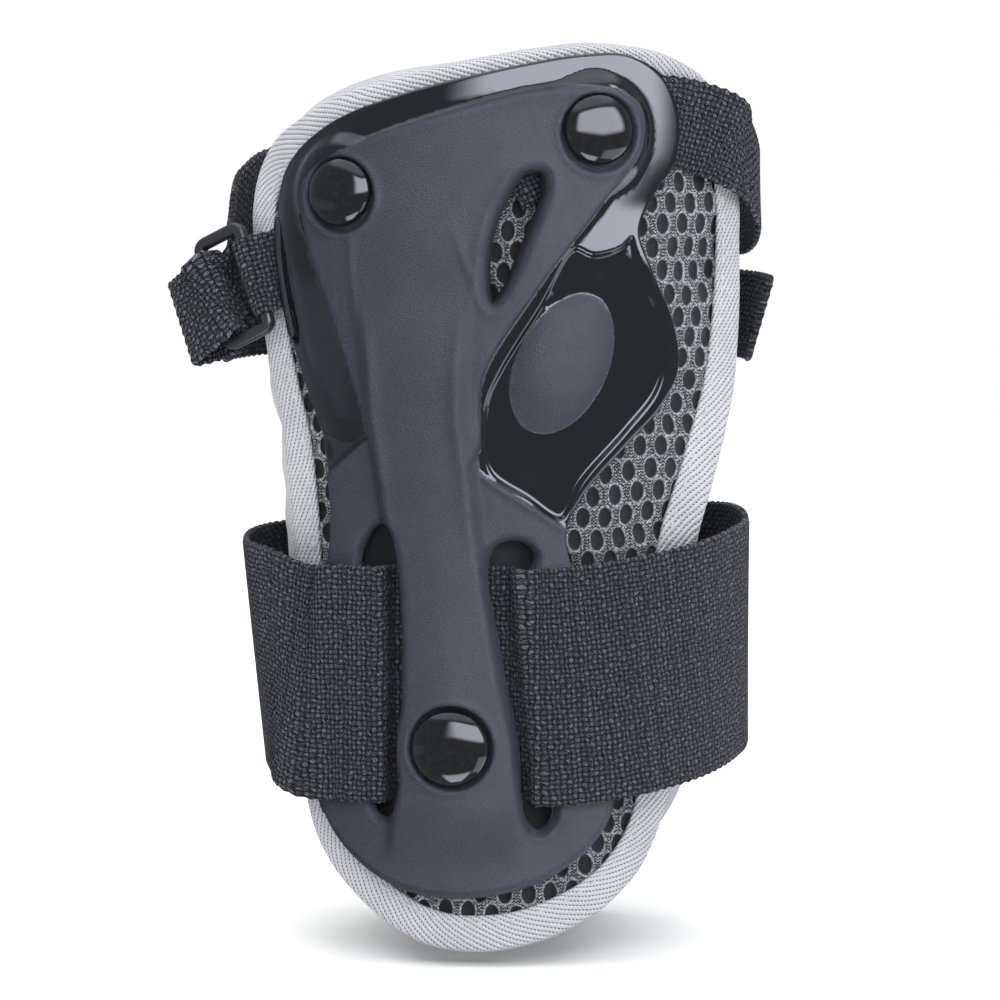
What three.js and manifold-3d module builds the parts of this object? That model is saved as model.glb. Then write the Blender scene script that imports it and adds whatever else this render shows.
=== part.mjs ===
// Palm-side wrist guard, in millimetres. +Z runs to the fingers, -Y is the palm side, and the
// origin is on the forearm's axis at the wrist strap's height.
import * as THREE from "three";
import { mergeVertices } from "three/addons/utils/BufferGeometryUtils.js";
import Module from "manifold-3d";

const wasm = await Module();
wasm.setup();

// Both panels are bent round the arm to one radius, and the palm side bows out over the heel.
const FORM_X = -1;
const FORM_R = 66;
const PALM_FACE = 33;
const DORSAL_FACE = 33;
const BOW = 4;
const BOW_FROM = 28;
const BOW_TO = 132;

// Layers of a padded panel, as heights over its outer face.
const MESH = [-1.2, 0];
const FOAM = [-6.4, -1.5];
const LINING = [-7.8, -6.7];
const BINDING_WIDTH = 8;
const BINDING_THICK = 0.8;
const BINDING_GAP = 0.6;
const TAPE_SWELL = 0.32;

// The moulded plate.
const PLATE_UNDER = 1.9;
const PLATE_GLOSS = 4.9;
const PLATE_MATTE = 6.5;
const RIB_TOP = 8.9;
const POCKET_TOP = 3.5;
const RELIEF_TOP = 3.6;
const RIVETS = [
  { name: "upper_left", x: -33.3, z: 99.2, cap: 14.2, seat: PLATE_MATTE, floor: 5.2 },
  { name: "upper_right", x: 20.4, z: 112.1, cap: 14.8, seat: PLATE_MATTE, floor: 5.2 },
  { name: "lower", x: -10.4, z: -15.6, cap: 16.4, seat: RIB_TOP, floor: 7.4 },
];
const SHANK = 4.6;
const SHANK_HOLE = SHANK + 0.8;
const STRAP_HOLE = SHANK + 1;
const CAP_WELL_CLEAR = 1.6;
const WASHER = 11;
const WASHER_THICK = 1.4;
const WASHER_GAP = 0.8;

// Heights a cut starts and ends at: well behind the panels, well in front of the plate, and
// just past each face of a strap or of the plate's underside.
const BEHIND = -14;
const IN_FRONT = 16;
const PAST_STRAP = [-3, 5];
const PAST_UNDERSIDE = -1;

// Webbing.
const WRIST_WEB = 50;
const WRIST_THICK = 1.5;
const HAND_WEB = 19;
const HAND_THICK = 1.3;
const PATCH_THICK = 0.9;
const LAYER_GAP = 0.35;

// The ring that the hand strap runs through.
const RING_INNER = 20.2;
const RING_BAR = 2.6;
const RING_REACH = 10.8;

const COLOUR = {
  plate: 0x17181a,
  cap: 0x0b0b0c,
  steel: 0x8d9094,
  mesh: 0x1b1c20,
  cover: 0x1d1e21,
  foam: 0x2a2b2e,
  lining: 0x202125,
  binding: 0xaeb1b6,
  gusset: 0xb9bbbf,
  stay: 0x303236,
  webbing: 0x161719,
  loops: 0x202124,
  hooks: 0x141416,
  ring: 0x101113,
};

const RIM_STEPS = 42;
const PANEL_RINGS = [0.3, 0.58, 0.82, 1];
const PLATE_RINGS = [0.4, 0.75, 1];

// ---------------------------------------------------------------- solids

// A closed solid from vertices and triangles, whichever way round they were wound.
function solid(points, faces) {
  const build = (order) =>
    new wasm.Manifold(
      new wasm.Mesh({
        numProp: 3,
        vertProperties: new Float32Array(points.flatMap((p) => [p.x, p.y, p.z])),
        triVerts: new Uint32Array(order),
      }),
    );
  const made = build(faces.flat());
  if (made.volume() > 0) return made;
  return build(faces.map(([a, b, c]) => [a, c, b]).flat());
}

// The same for a three.js geometry.
function fromGeometry(geometry) {
  geometry.deleteAttribute("normal");
  geometry.deleteAttribute("uv");
  const merged = mergeVertices(geometry, 1e-4);
  const at = merged.attributes.position;
  const points = [];
  for (let i = 0; i < at.count; i++) points.push(new THREE.Vector3().fromBufferAttribute(at, i));
  const faces = [];
  for (let i = 0; i < merged.index.count; i += 3) {
    faces.push([0, 1, 2].map((k) => merged.index.getX(i + k)));
  }
  return solid(points, faces);
}

// ---------------------------------------------------------------- the two curved sides

const smooth = (t) => t * t * (3 - 2 * t);
const clamp = (t) => Math.min(1, Math.max(0, t));
const bow = (z) => BOW * Math.sin(Math.PI * clamp((z - BOW_FROM) / (BOW_TO - BOW_FROM))) ** 2;

// The point h over a panel's outer face; x is measured on that face.
function palm(x, z, h) {
  const turn = Math.asin((x - FORM_X) / FORM_R);
  const out = FORM_R + h;
  return new THREE.Vector3(
    FORM_X + out * Math.sin(turn),
    FORM_R - PALM_FACE - bow(z) - out * Math.cos(turn),
    z,
  );
}
function dorsal(x, z, h) {
  const turn = Math.asin((x - FORM_X) / FORM_R);
  const out = FORM_R + h;
  return new THREE.Vector3(
    FORM_X + out * Math.sin(turn),
    DORSAL_FACE - FORM_R + out * Math.cos(turn),
    z,
  );
}

// The x on the face under a point that is at x when it stands h over the face.
const under = (x, h) => FORM_X + ((x - FORM_X) * FORM_R) / (FORM_R + h);

// ---------------------------------------------------------------- outlines

// A smooth closed outline through a few points, [x, z], evenly stepped.
function outline(points, steps = RIM_STEPS, h = 0) {
  const curve = new THREE.CatmullRomCurve3(
    points.map(([x, z]) => new THREE.Vector3(under(x, h), 0, z)),
    true,
    "centripetal",
  );
  return curve.getSpacedPoints(steps).slice(0, steps).map((p) => [p.x, p.z]);
}

// The outline moved in by a distance, or by a list of them, one for each of its points.
function inset(rim, by) {
  const area = rim.reduce((sum, [x, z], i) => {
    const [x2, z2] = rim[(i + 1) % rim.length];
    return sum + x * z2 - x2 * z;
  }, 0);
  return rim.map(([x, z], i) => {
    const side = Math.sign(area) * (Array.isArray(by) ? by[i] : by);
    const [ax, az] = rim[(i + rim.length - 1) % rim.length];
    const [bx, bz] = rim[(i + 1) % rim.length];
    const long = Math.hypot(bx - ax, bz - az);
    return [x - ((bz - az) / long) * side, z + ((bx - ax) / long) * side];
  });
}

// The x where the outline crosses a height on its left side.
function leftEdge(rim, z) {
  const cuts = [];
  rim.forEach(([x, z1], i) => {
    const [x2, z2] = rim[(i + 1) % rim.length];
    if ((z1 - z) * (z2 - z) < 0) cuts.push(x + ((x2 - x) * (z - z1)) / (z2 - z1));
  });
  return Math.min(...cuts);
}

// ---------------------------------------------------------------- curved builders

// A plate between two heights over a side, inside an outline that is star-shaped round its heart.
function plate(rim, heart, side, low, high, rings = PLATE_RINGS) {
  const points = [];
  const faces = [];
  const count = rim.length;
  const half = 1 + rings.length * count;
  for (const h of [low, high]) {
    points.push(side(heart[0], heart[1], h));
    for (const part of rings) {
      for (const [x, z] of rim) {
        points.push(side(heart[0] + (x - heart[0]) * part, heart[1] + (z - heart[1]) * part, h));
      }
    }
  }
  for (let i = 0; i < count; i++) {
    const j = (i + 1) % count;
    for (const [base, turned] of [[0, false], [half, true]]) {
      const put = (a, b, c) => faces.push(turned ? [a, c, b] : [a, b, c]);
      put(base, base + 1 + i, base + 1 + j);
      for (let ring = 0; ring < rings.length - 1; ring++) {
        const a = base + 1 + ring * count;
        const b = a + count;
        put(a + i, b + i, b + j);
        put(a + i, b + j, a + j);
      }
    }
    const low0 = 1 + (rings.length - 1) * count;
    faces.push([low0 + i, half + low0 + i, half + low0 + j]);
    faces.push([low0 + i, half + low0 + j, low0 + j]);
  }
  return solid(points, faces);
}

// A tape that follows an outline: its section is a closed list of [inset, height], and swell
// widens it at a place of the outline.
function tape(rim, section, side, swell) {
  const rows = section.map(([by]) => {
    const wider = swell.map((more) => (by > BINDING_THICK ? by * more : by));
    return inset(rim, wider);
  });
  const points = [];
  const faces = [];
  const wide = section.length;
  rim.forEach((_, i) => {
    section.forEach(([, h], k) => points.push(side(rows[k][i][0], rows[k][i][1], h)));
  });
  for (let i = 0; i < rim.length; i++) {
    const j = (i + 1) % rim.length;
    for (let k = 0; k < wide; k++) {
      const n = (k + 1) % wide;
      faces.push([i * wide + k, j * wide + k, j * wide + n]);
      faces.push([i * wide + k, j * wide + n, i * wide + n]);
    }
  }
  return solid(points, faces);
}

// A sheet of even thickness about a surface at(u, v), u and v from 0 to 1.
function sheet(at, thick, nu, nv) {
  const points = [];
  const faces = [];
  const step = 1e-3;
  const normal = (u, v) => {
    const du = at(Math.min(1, u + step), v).sub(at(Math.max(0, u - step), v));
    const dv = at(u, Math.min(1, v + step)).sub(at(u, Math.max(0, v - step)));
    return du.cross(dv).normalize();
  };
  for (const sign of [-0.5, 0.5]) {
    for (let i = 0; i <= nu; i++) {
      for (let j = 0; j <= nv; j++) {
        const u = i / nu;
        const v = j / nv;
        points.push(at(u, v).addScaledVector(normal(u, v), sign * thick));
      }
    }
  }
  const row = nv + 1;
  const half = (nu + 1) * row;
  const quad = (a, b, c, d) => faces.push([a, b, c], [a, c, d]);
  for (let i = 0; i < nu; i++) {
    for (let j = 0; j < nv; j++) {
      const a = i * row + j;
      quad(a, a + row, a + row + 1, a + 1);
      quad(half + a, half + a + 1, half + a + row + 1, half + a + row);
    }
  }
  for (let i = 0; i < nu; i++) {
    const a = i * row;
    quad(a, half + a, half + a + row, a + row);
    quad(a + nv, a + nv + row, half + a + nv + row, half + a + nv);
  }
  for (let j = 0; j < nv; j++) {
    quad(j, j + 1, half + j + 1, half + j);
    const a = nu * row + j;
    quad(a, half + a, half + a + 1, a + 1);
  }
  return solid(points, faces);
}

// Webbing along a line of stations { p, w }: a point of its centre line and its width's direction.
function webbing(stations, width, thick, nu, nv = 1) {
  const line = new THREE.CatmullRomCurve3(
    stations.map((s) => new THREE.Vector3(...s.p)),
    false,
    "centripetal",
  );
  const last = stations.length - 1;
  const across = (u) => {
    const along = u * last;
    const i = Math.min(last - 1, Math.floor(along));
    const a = new THREE.Vector3(...(stations[i].w ?? [0, 0, 1])).normalize();
    const b = new THREE.Vector3(...(stations[i + 1].w ?? [0, 0, 1])).normalize();
    return a.lerp(b, smooth(along - i)).normalize();
  };
  return sheet(
    (u, v) => line.getPoint(u).addScaledVector(across(u), (v - 0.5) * width),
    thick,
    nu,
    nv,
  );
}

// A three.js shape drawn about the Y axis, set square to the palm side at a rivet.
function setOnPalm(geometry, rivet) {
  const x = under(rivet.x, rivet.seat);
  const zero = palm(x, rivet.z, 0);
  const alongX = palm(x + 0.1, rivet.z, 0).sub(palm(x - 0.1, rivet.z, 0));
  const alongZ = palm(x, rivet.z + 0.1, 0).sub(palm(x, rivet.z - 0.1, 0));
  geometry.applyQuaternion(
    new THREE.Quaternion().setFromUnitVectors(
      new THREE.Vector3(0, 1, 0),
      alongX.cross(alongZ).normalize(),
    ),
  );
  geometry.translate(zero.x, zero.y, zero.z);
  return fromGeometry(geometry);
}
function post(rivet, diameter, low, high) {
  const bar = new THREE.CylinderGeometry(diameter / 2, diameter / 2, high - low, 14);
  bar.translate(0, (low + high) / 2, 0);
  return setOnPalm(bar, rivet);
}

const POCKET_STEP = 10;

// What is cut away under a plain ring of [x, z] corners: a curved pocket between two heights.
function pocket(corners, low, high) {
  const heart = [0, 1].map((k) => corners.reduce((sum, c) => sum + c[k], 0) / corners.length);
  const rim = corners.flatMap(([x, z], i) => {
    const [x2, z2] = corners[(i + 1) % corners.length];
    const pieces = Math.ceil(Math.hypot(x2 - x, z2 - z) / POCKET_STEP);
    return Array.from({ length: pieces }, (_, k) => [
      x + ((x2 - x) * k) / pieces,
      z + ((z2 - z) * k) / pieces,
    ]);
  });
  return plate(rim, heart, palm, low, high, [0.5, 1]);
}

// A straight cut through the palm side, along Y, inside a ring of [x, z] corners.
function through(corners) {
  const shape = new THREE.Shape(corners.map(([x, z]) => new THREE.Vector2(x, z)));
  const block = new THREE.ExtrudeGeometry(shape, { depth: 60, bevelEnabled: false });
  block.rotateX(Math.PI / 2);
  block.translate(0, -10, 0);
  return fromGeometry(block);
}

const group = new THREE.Group();
group.name = "wrist_guard";

function part(name, shape, color, roughness = 0.85, metalness = 0) {
  const mesh = shape.getMesh();
  const geometry = new THREE.BufferGeometry();
  geometry.setAttribute("position", new THREE.BufferAttribute(mesh.vertProperties, 3));
  geometry.setIndex(new THREE.BufferAttribute(mesh.triVerts, 1));
  geometry.computeVertexNormals();
  const made = new THREE.Mesh(
    geometry,
    new THREE.MeshStandardMaterial({ color, roughness, metalness }),
  );
  made.name = name;
  group.add(made);
}

// ---------------------------------------------------------------- padded panels

const PALM_RIM = outline([
  [0, 127.9], [20.8, 130.2], [35, 128], [44.8, 121], [49.8, 105], [50.6, 86], [49.6, 58],
  [45.4, 38.1], [41.2, 22], [37.2, -22.3], [31, -42], [20.8, -52.7], [2.7, -59.8],
  [-15.8, -59.2], [-30.6, -49.6], [-39.8, -35.8], [-43, -5], [-43.9, 25], [-45.6, 46],
  [-49, 64], [-52.1, 96], [-48.5, 108.5], [-38, 117.5], [-20, 123.8],
]);
const DORSAL_RIM = outline([
  [0, 127], [-30, 122.5], [-43, 115], [-49, 98], [-48, 64], [-44, 36], [-42.5, 0],
  [-39, -30], [-27, -51], [-2, -61.5], [18, -59], [34.5, -45], [43, -24], [43.5, 20],
  [45, 52], [47, 84], [44, 112], [28, 125],
]);
const PALM_HEART = [0, 32];

const BINDING_SECTION = (() => {
  const top = BINDING_GAP;
  const foot = LINING[0] - BINDING_GAP;
  const wall = BINDING_THICK;
  return [
    [BINDING_WIDTH, top], [BINDING_WIDTH, top + wall], [wall, top + wall], [0, top],
    [0, foot], [wall, foot - wall], [BINDING_WIDTH, foot - wall], [BINDING_WIDTH, foot],
    [wall, foot], [wall, top],
  ];
})();

const shankHoles = RIVETS.map((r) => post(r, SHANK_HOLE, BEHIND, IN_FRONT));
const drilled = (shape) => shankHoles.reduce((left, hole) => left.subtract(hole), shape);
const CORE_INSET = BINDING_THICK + 0.4;

// The palm's tape is folded over wider along the heel of the thumb.
const thumbHeel = ([x, z]) =>
  x > 20 ? 1 + TAPE_SWELL * smooth(clamp((95 - z) / 50)) * smooth(clamp((z + 35) / 30)) : 1;

for (const [name, side, rim, face, swell] of [
  ["palm", palm, PALM_RIM, "mesh", PALM_RIM.map(thumbHeel)],
  ["dorsal", dorsal, DORSAL_RIM, "cover", DORSAL_RIM.map(() => 1)],
]) {
  const core = inset(rim, CORE_INSET);
  const layer = (heights) => {
    const made = plate(core, PALM_HEART, side, heights[0], heights[1], PANEL_RINGS);
    return side === palm ? drilled(made) : made;
  };
  part(`${name}_${face}`, layer(MESH), COLOUR[face], 0.9);
  part(`${name}_foam`, layer(FOAM), COLOUR.foam, 0.95);
  part(`${name}_lining`, layer(LINING), COLOUR.lining, 0.95);
  part(`${name}_binding`, tape(rim, BINDING_SECTION, side, swell), COLOUR.binding, 0.9);
}

// The pale fabric that joins the panels on the little finger's side.
const GUSSET_FROM = -24;
const GUSSET_TO = 64;
const GUSSET_HANDLE = 7.5;
const GUSSET_THICK = 1.1;
const MID_DEPTH = -4;
function edgeOut(rim, side, z) {
  const x = leftEdge(rim, z);
  const edge = side(x, z, MID_DEPTH);
  const out = edge.clone().sub(side(x + 0.5, z, MID_DEPTH)).normalize();
  return { edge, out };
}
const gussetAt = (u, v) => {
  const z = GUSSET_FROM + (GUSSET_TO - GUSSET_FROM) * v;
  const a = edgeOut(PALM_RIM, palm, z);
  const b = edgeOut(DORSAL_RIM, dorsal, z);
  return new THREE.CubicBezierCurve3(
    a.edge.clone().addScaledVector(a.out, 0.5),
    a.edge.clone().addScaledVector(a.out, GUSSET_HANDLE),
    b.edge.clone().addScaledVector(b.out, GUSSET_HANDLE),
    b.edge.clone().addScaledVector(b.out, 0.5),
  ).getPoint(u);
};
part("side_gusset", sheet(gussetAt, GUSSET_THICK, 7, 4), COLOUR.gusset, 0.9);

// ---------------------------------------------------------------- the moulded plate

const PLATE_RIM = outline([
  [4.2, 126], [17.5, 128.1], [27, 128], [34.5, 123.5], [37.9, 115.2], [37, 106.5],
  [31.5, 97], [29.4, 91.5], [31.9, 83.5], [36.5, 72.3], [37.6, 63], [34, 55], [26.9, 47.3],
  [17.5, 36.7], [13.9, 29], [16, 18], [24.4, -24], [23.5, -32], [18.8, -38.5], [8, -45.3],
  [-10.4, -48.5], [-24, -45.7], [-35, -37], [-39.8, -26], [-38.3, 5], [-35.8, 34],
  [-38.5, 48.5], [-44.5, 67], [-48.2, 90], [-46.4, 104], [-38, 113], [-22, 119.7],
], 60, PLATE_GLOSS);
const PLATE_HEART = [-9, 37];

const MATTE_RIM = outline([
  [-31.5, 109.2], [-10.4, 116.5], [8, 121], [20, 121.7], [29, 118], [29.5, 109], [22.1, 98.3],
  [8.1, 80.2], [-3.5, 61.7], [-5, 45], [-16, 38], [-26.5, 46], [-30.5, 58], [-35.6, 74],
  [-41.3, 92.3], [-40.5, 102.5],
], 36, PLATE_MATTE);
const MATTE_HEART = [-18, 78];

// The rib's left and right ridges, [z, left, right], from the raised head down to the foot.
const RIB = [
  [92, -30, -12], [83, -31.7, -6], [65, -29.4, -7.1], [53, -28.5, -7.1], [43, -27.1, -5.6],
  [32, -25.4, -4.6], [20.6, -23, -3.1], [7, -22.1, -1], [-1.7, -22.1, 0.6], [-16, -22.1, 3.3],
  [-24, -22.6, 4.4], [-32, -24, 5.5], [-39, -22, 5.5],
];
// Its section is a low arch that stands on the plate and fades at both ends.
function ribSolid() {
  const points = [];
  const faces = [];
  const arch = [0, 0.12, 0.35, 0.65, 0.88, 1];
  const wide = arch.length * 2;
  RIB.forEach(([z, left, right], i) => {
    const fade = i === 0 || i === RIB.length - 1 ? 0.1 : 1;
    const crown = PLATE_MATTE - 0.4 + (RIB_TOP - PLATE_MATTE + 0.4) * fade;
    for (const t of arch) {
      const rise = t === 0 || t === 1 ? -1.2 : 0;
      const h = i === 0 || i === RIB.length - 1 ? crown + 0.5 * rise : crown + rise;
      points.push(palm(under(left + (right - left) * t, h), z, h));
    }
    for (const t of arch.toReversed()) {
      points.push(palm(under(left + (right - left) * t, RIB_TOP), z, PLATE_UNDER + 0.9));
    }
  });
  for (let i = 0; i < RIB.length - 1; i++) {
    for (let k = 0; k < wide; k++) {
      const n = (k + 1) % wide;
      const [a, b] = [i * wide, (i + 1) * wide];
      faces.push([a + k, b + k, b + n], [a + k, b + n, a + n]);
    }
  }
  for (const [base, turned] of [[0, false], [(RIB.length - 1) * wide, true]]) {
    const cap = [];
    for (let k = 0; k < arch.length - 1; k++) {
      const [a, b] = [base + k, base + k + 1];
      const [c, d] = [base + wide - 1 - k, base + wide - 2 - k];
      cap.push([a, b, d], [a, d, c]);
    }
    faces.push(...cap.map(([a, b, c]) => (turned ? [a, c, b] : [a, b, c])));
  }
  return solid(points, faces);
}

// The strap's two slots, one each side of the rib, [x, z].
const SLOT_LEFT = [
  [-22.3, 21], [-22.3, -31], [-26.4, -31], [-26.4, 20], [-30, 21], [-27, 30], [-24.4, 30],
];
const SLOT_RIGHT = [
  [-2.6, 21.5], [-0.4, 7], [1.2, -1.7], [3.9, -16], [5.4, -31], [8, -34], [11.2, -31],
  [5.7, 20], [8, 27], [-1.5, 27],
];
const STRAP_RELIEF = [[-27, 25], [-27, -31], [12, -31], [8, 25]];
const VENT = [
  [-2.9, 80], [-2.6, 88.8], [-0.1, 96.6], [4.9, 104], [8.8, 104.4], [9.8, 100.8],
  [6.2, 90.3], [0.4, 78.4], [-1.8, 76.8],
];
const TAB_POCKET = [[-54, 95], [-40, 95], [-40, 68], [-54, 68]];
const HAND_POCKET = [
  [-8, 98], [-8, 115], [8, 123], [27, 127], [44, 126], [44, 98], [30, 101], [14, 96], [4, 93],
];

// ---------------------------------------------------------------- rivets and their washers

// A profile of [radius, height] turned about a rivet's axis.
function turned(profile, r) {
  const line = profile.map(([radius, h]) => new THREE.Vector2(radius, h));
  return setOnPalm(new THREE.LatheGeometry(line, 20), r);
}

// A domed cap with its shank.
function rivetCap(r) {
  const radius = r.cap / 2;
  const dome = radius * 0.42;
  const head = r.floor + 0.3;
  const foot = LINING[0] - WASHER_GAP - WASHER_THICK - 0.6;
  const lip = head + 0.6;
  const profile = [[0, foot], [SHANK / 2, foot], [SHANK / 2, head], [radius, head], [radius, lip]];
  for (const turn of [22.5, 45, 67.5].map(THREE.MathUtils.degToRad)) {
    profile.push([radius * Math.cos(turn), lip + dome * Math.sin(turn)]);
  }
  profile.push([0, lip + dome]);
  return turned(profile, r);
}
function washer(r) {
  const top = LINING[0] - WASHER_GAP;
  const bottom = top - WASHER_THICK;
  const bore = SHANK / 2 + 0.3;
  const profile = [
    [bore, bottom], [WASHER / 2, bottom], [WASHER / 2, top], [bore, top], [bore, bottom],
  ];
  return turned(profile, r);
}
for (const r of RIVETS) {
  part(`rivet_cap_${r.name}`, rivetCap(r), COLOUR.cap, 0.12);
  part(`rivet_washer_${r.name}`, washer(r), COLOUR.steel, 0.4, 0.9);
}

// ---------------------------------------------------------------- the stay behind the wrist

// Half its outline, [x, z], from the top to the foot; the other half mirrors it.
const STAY_HALF = [[0, 82], [9, 80], [10.5, 60], [10.5, -20], [9, -38], [0, -40]];
const POCKET_HALF = [[0, 88], [15, 86], [17, 62], [17, -22], [15, -43], [0, -46]];
const mirrored = (half) => [
  ...half,
  ...half.slice(1, -1).toReversed().map(([x, z]) => [-x, z]),
];
const SPLINT_RIM = outline(mirrored(STAY_HALF), 28);
const POCKET_RIM = outline(mirrored(POCKET_HALF), 28);
const STAY_HEART = [0, 20];
const STAY = [0.4, 2.6];
const POCKET = [2.95, 3.95];
const STAY_RINGS = [0.5, 1];
const splint = plate(SPLINT_RIM, STAY_HEART, dorsal, ...STAY, STAY_RINGS);
part("dorsal_splint", splint, COLOUR.stay, 0.5);
const stayPocket = plate(POCKET_RIM, STAY_HEART, dorsal, ...POCKET, STAY_RINGS);
part("splint_pocket", stayPocket, COLOUR.cover, 0.9);

// ---------------------------------------------------------------- the wrist strap

const WRIST_Z = -3.2;
const overPalm = (x, h, z = WRIST_Z) => palm(under(x, h), z, h).toArray();
const overBack = (x, h, z) => dorsal(under(x, h), z, h).toArray();
const STRAP_H = PLATE_GLOSS + LAYER_GAP + WRIST_THICK / 2 + 0.35;
const UNDER_H = 1.1;
const SLANT = [-0.111, 0, 1];
const BACK_H = POCKET[1] + LAYER_GAP + WRIST_THICK / 2 + 0.2;

const wristStations = [
  { p: overBack(-5, BACK_H, 0) },
  { p: overBack(-20, BACK_H, 0) },
  { p: overBack(-34, BACK_H, 0) },
  { p: [-48, 19.5, 0], w: [-0.06, 0, 1] },
  { p: [-52.3, 6, 0], w: [-0.1, 0, 1] },
  { p: [-51.8, -8, -0.5], w: [-0.1, 0, 1] },
  { p: [-47.8, -19.5, -1], w: [-0.05, 0, 1] },
  { p: overPalm(-41, STRAP_H + 0.6) },
  { p: overPalm(-34, STRAP_H + 0.1) },
  { p: overPalm(-27.5, STRAP_H) },
  { p: overPalm(-25, STRAP_H - 0.5) },
  { p: overPalm(-24, 3.4) },
  { p: overPalm(-23, UNDER_H + 0.4) },
  { p: overPalm(-19.5, UNDER_H) },
  { p: overPalm(-10, UNDER_H) },
  { p: overPalm(-1, UNDER_H), w: SLANT },
  { p: overPalm(3.2, UNDER_H + 0.3), w: SLANT },
  { p: overPalm(4.8, 3.2), w: SLANT },
  { p: overPalm(6.2, STRAP_H - 0.5), w: SLANT },
  { p: overPalm(9, STRAP_H), w: SLANT },
  { p: overPalm(18, STRAP_H, -2.6), w: SLANT },
  { p: overPalm(30, STRAP_H + 0.4, -1.2), w: [-0.05, 0, 1] },
  { p: [44, -22.5, 1] },
  { p: [51.5, -9, 3] },
  { p: [53.2, 2, 4] },
  { p: [52.2, 12, 4.5] },
];
const lowerRivetHole = post(RIVETS[2], STRAP_HOLE, ...PAST_STRAP);
const wristStrap = webbing(wristStations, WRIST_WEB, WRIST_THICK, 64).subtract(lowerRivetHole);
part("wrist_strap", wristStrap, COLOUR.webbing, 0.9);

// The free end carries on from the strap, round the back and over the strap's own sewn end.
const FLAP_H = BACK_H + WRIST_THICK + 2 * PATCH_THICK + 3 * LAYER_GAP + 0.3;
const flapStations = [
  { p: [52.0, 12.9, 4.5] },
  { p: [49.2, 22.5, 4.2] },
  { p: [42.5, 31, 3.6] },
  { p: overBack(30, FLAP_H + 0.2, 2.6) },
  { p: overBack(14, FLAP_H, 1.6) },
  { p: overBack(-2, FLAP_H, 0.8) },
  { p: overBack(-18, FLAP_H, 0) },
  { p: overBack(-32, FLAP_H, 0) },
];
const wristFlap = webbing(flapStations, WRIST_WEB, WRIST_THICK, 20);
part("wrist_flap", wristFlap, COLOUR.webbing, 0.9);

// A fastener patch that lies at a height over the back.
function backPatch(left, right, z, length, h) {
  return sheet(
    (u, v) => {
      const x = left + (right - left) * u;
      return dorsal(under(x, h), z + (v - 0.5) * length, h);
    },
    PATCH_THICK,
    4,
    1,
  );
}
// A patch's left and right edge, middle height and length.
const WRIST_PATCH = [-27, -5, 0, 44];
const LOOP_H = BACK_H + (WRIST_THICK + PATCH_THICK) / 2 + LAYER_GAP;
const HOOK_H = LOOP_H + PATCH_THICK + LAYER_GAP + 0.1;
part("wrist_loop", backPatch(...WRIST_PATCH, LOOP_H), COLOUR.loops, 0.95);
part("wrist_hook", backPatch(...WRIST_PATCH, HOOK_H), COLOUR.hooks, 0.95);

// ---------------------------------------------------------------- the ring and its tab

// The ring leans: LONG runs along its two long bars, OUT from the held bar to the free one.
const LONG = new THREE.Vector3(-0.303, 0.313, 0.9).normalize();
const OUT = new THREE.Vector3(-0.803, 0.426, -0.419).normalize();
const HELD = new THREE.Vector3(-51.8, -19.8, 81.7);
const FREE = HELD.clone().addScaledVector(OUT, RING_REACH);

function bar(from, to, width) {
  const long = new THREE.Vector3().subVectors(to, from);
  const rod = new THREE.CylinderGeometry(width / 2, width / 2, long.length(), 10);
  rod.applyQuaternion(
    new THREE.Quaternion().setFromUnitVectors(new THREE.Vector3(0, 1, 0), long.normalize()),
  );
  rod.translate(...new THREE.Vector3().addVectors(from, to).multiplyScalar(0.5).toArray());
  return fromGeometry(rod);
}
const reach = (RING_INNER + RING_BAR) / 2;
const corner = (at, end) => at.clone().addScaledVector(LONG, end);
const past = RING_BAR / 2;
const ring = bar(corner(HELD, -reach - past), corner(HELD, reach + past), RING_BAR)
  .add(bar(corner(FREE, -reach - past), corner(FREE, reach + past), RING_BAR))
  .add(bar(corner(HELD, reach), corner(FREE, reach), RING_BAR))
  .add(bar(corner(HELD, -reach), corner(FREE, -reach), RING_BAR));
part("strap_ring", ring, COLOUR.ring, 0.35);

// A fold of webbing round one of the ring's bars: the point at an angle round the bar, 0 on its
// outer side and a quarter turn in front of it.
const FRONT = new THREE.Vector3().crossVectors(LONG, OUT).normalize();
function fold(centre, radius, degrees, back = 0) {
  const angle = (degrees * Math.PI) / 180;
  return centre
    .clone()
    .addScaledVector(OUT, radius * Math.cos(angle))
    .addScaledVector(FRONT, radius * Math.sin(angle) - back)
    .toArray();
}
const along = LONG.toArray();

const TAB_WEB = 17;
const TAB_THICK = 1.1;
const TAB_H = 2.45;
const TAB_TURN = RING_BAR / 2 + 0.35 + TAB_THICK / 2;
const tabStations = [
  { p: palm(-42, 84.5, TAB_H).toArray(), w: [-0.3, 0.24, 0.92] },
  { p: palm(-45.3, 83.4, TAB_H + 0.1).toArray(), w: [-0.3, 0.28, 0.91] },
  ...[100, 60, 20, -20, -60, -95].map((angle) => ({ p: fold(HELD, TAB_TURN, angle), w: along })),
];
part("ring_tab", webbing(tabStations, TAB_WEB, TAB_THICK, 16), COLOUR.webbing, 0.9);

// ---------------------------------------------------------------- the hand strap

const PLAY = 1.5;
const STRAP_TURN = RING_BAR / 2 + PLAY + HAND_THICK / 2;
const HAND_BACK_H = 3.4;
const UNDER_PLATE_H = 1.55;

// The strap's fold stands well out from the ring and slips down along it.
const SLACK = 6.2;
const DROP = 2.4;
function looseFold(degrees) {
  const outward = Math.max(0, Math.cos((degrees * Math.PI) / 180)) ** 2;
  const slipped = smooth(clamp((150 - degrees) / 110));
  return new THREE.Vector3(...fold(FREE, STRAP_TURN, degrees))
    .addScaledVector(OUT, SLACK * outward)
    .addScaledVector(LONG, -DROP * slipped)
    .toArray();
}

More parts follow.
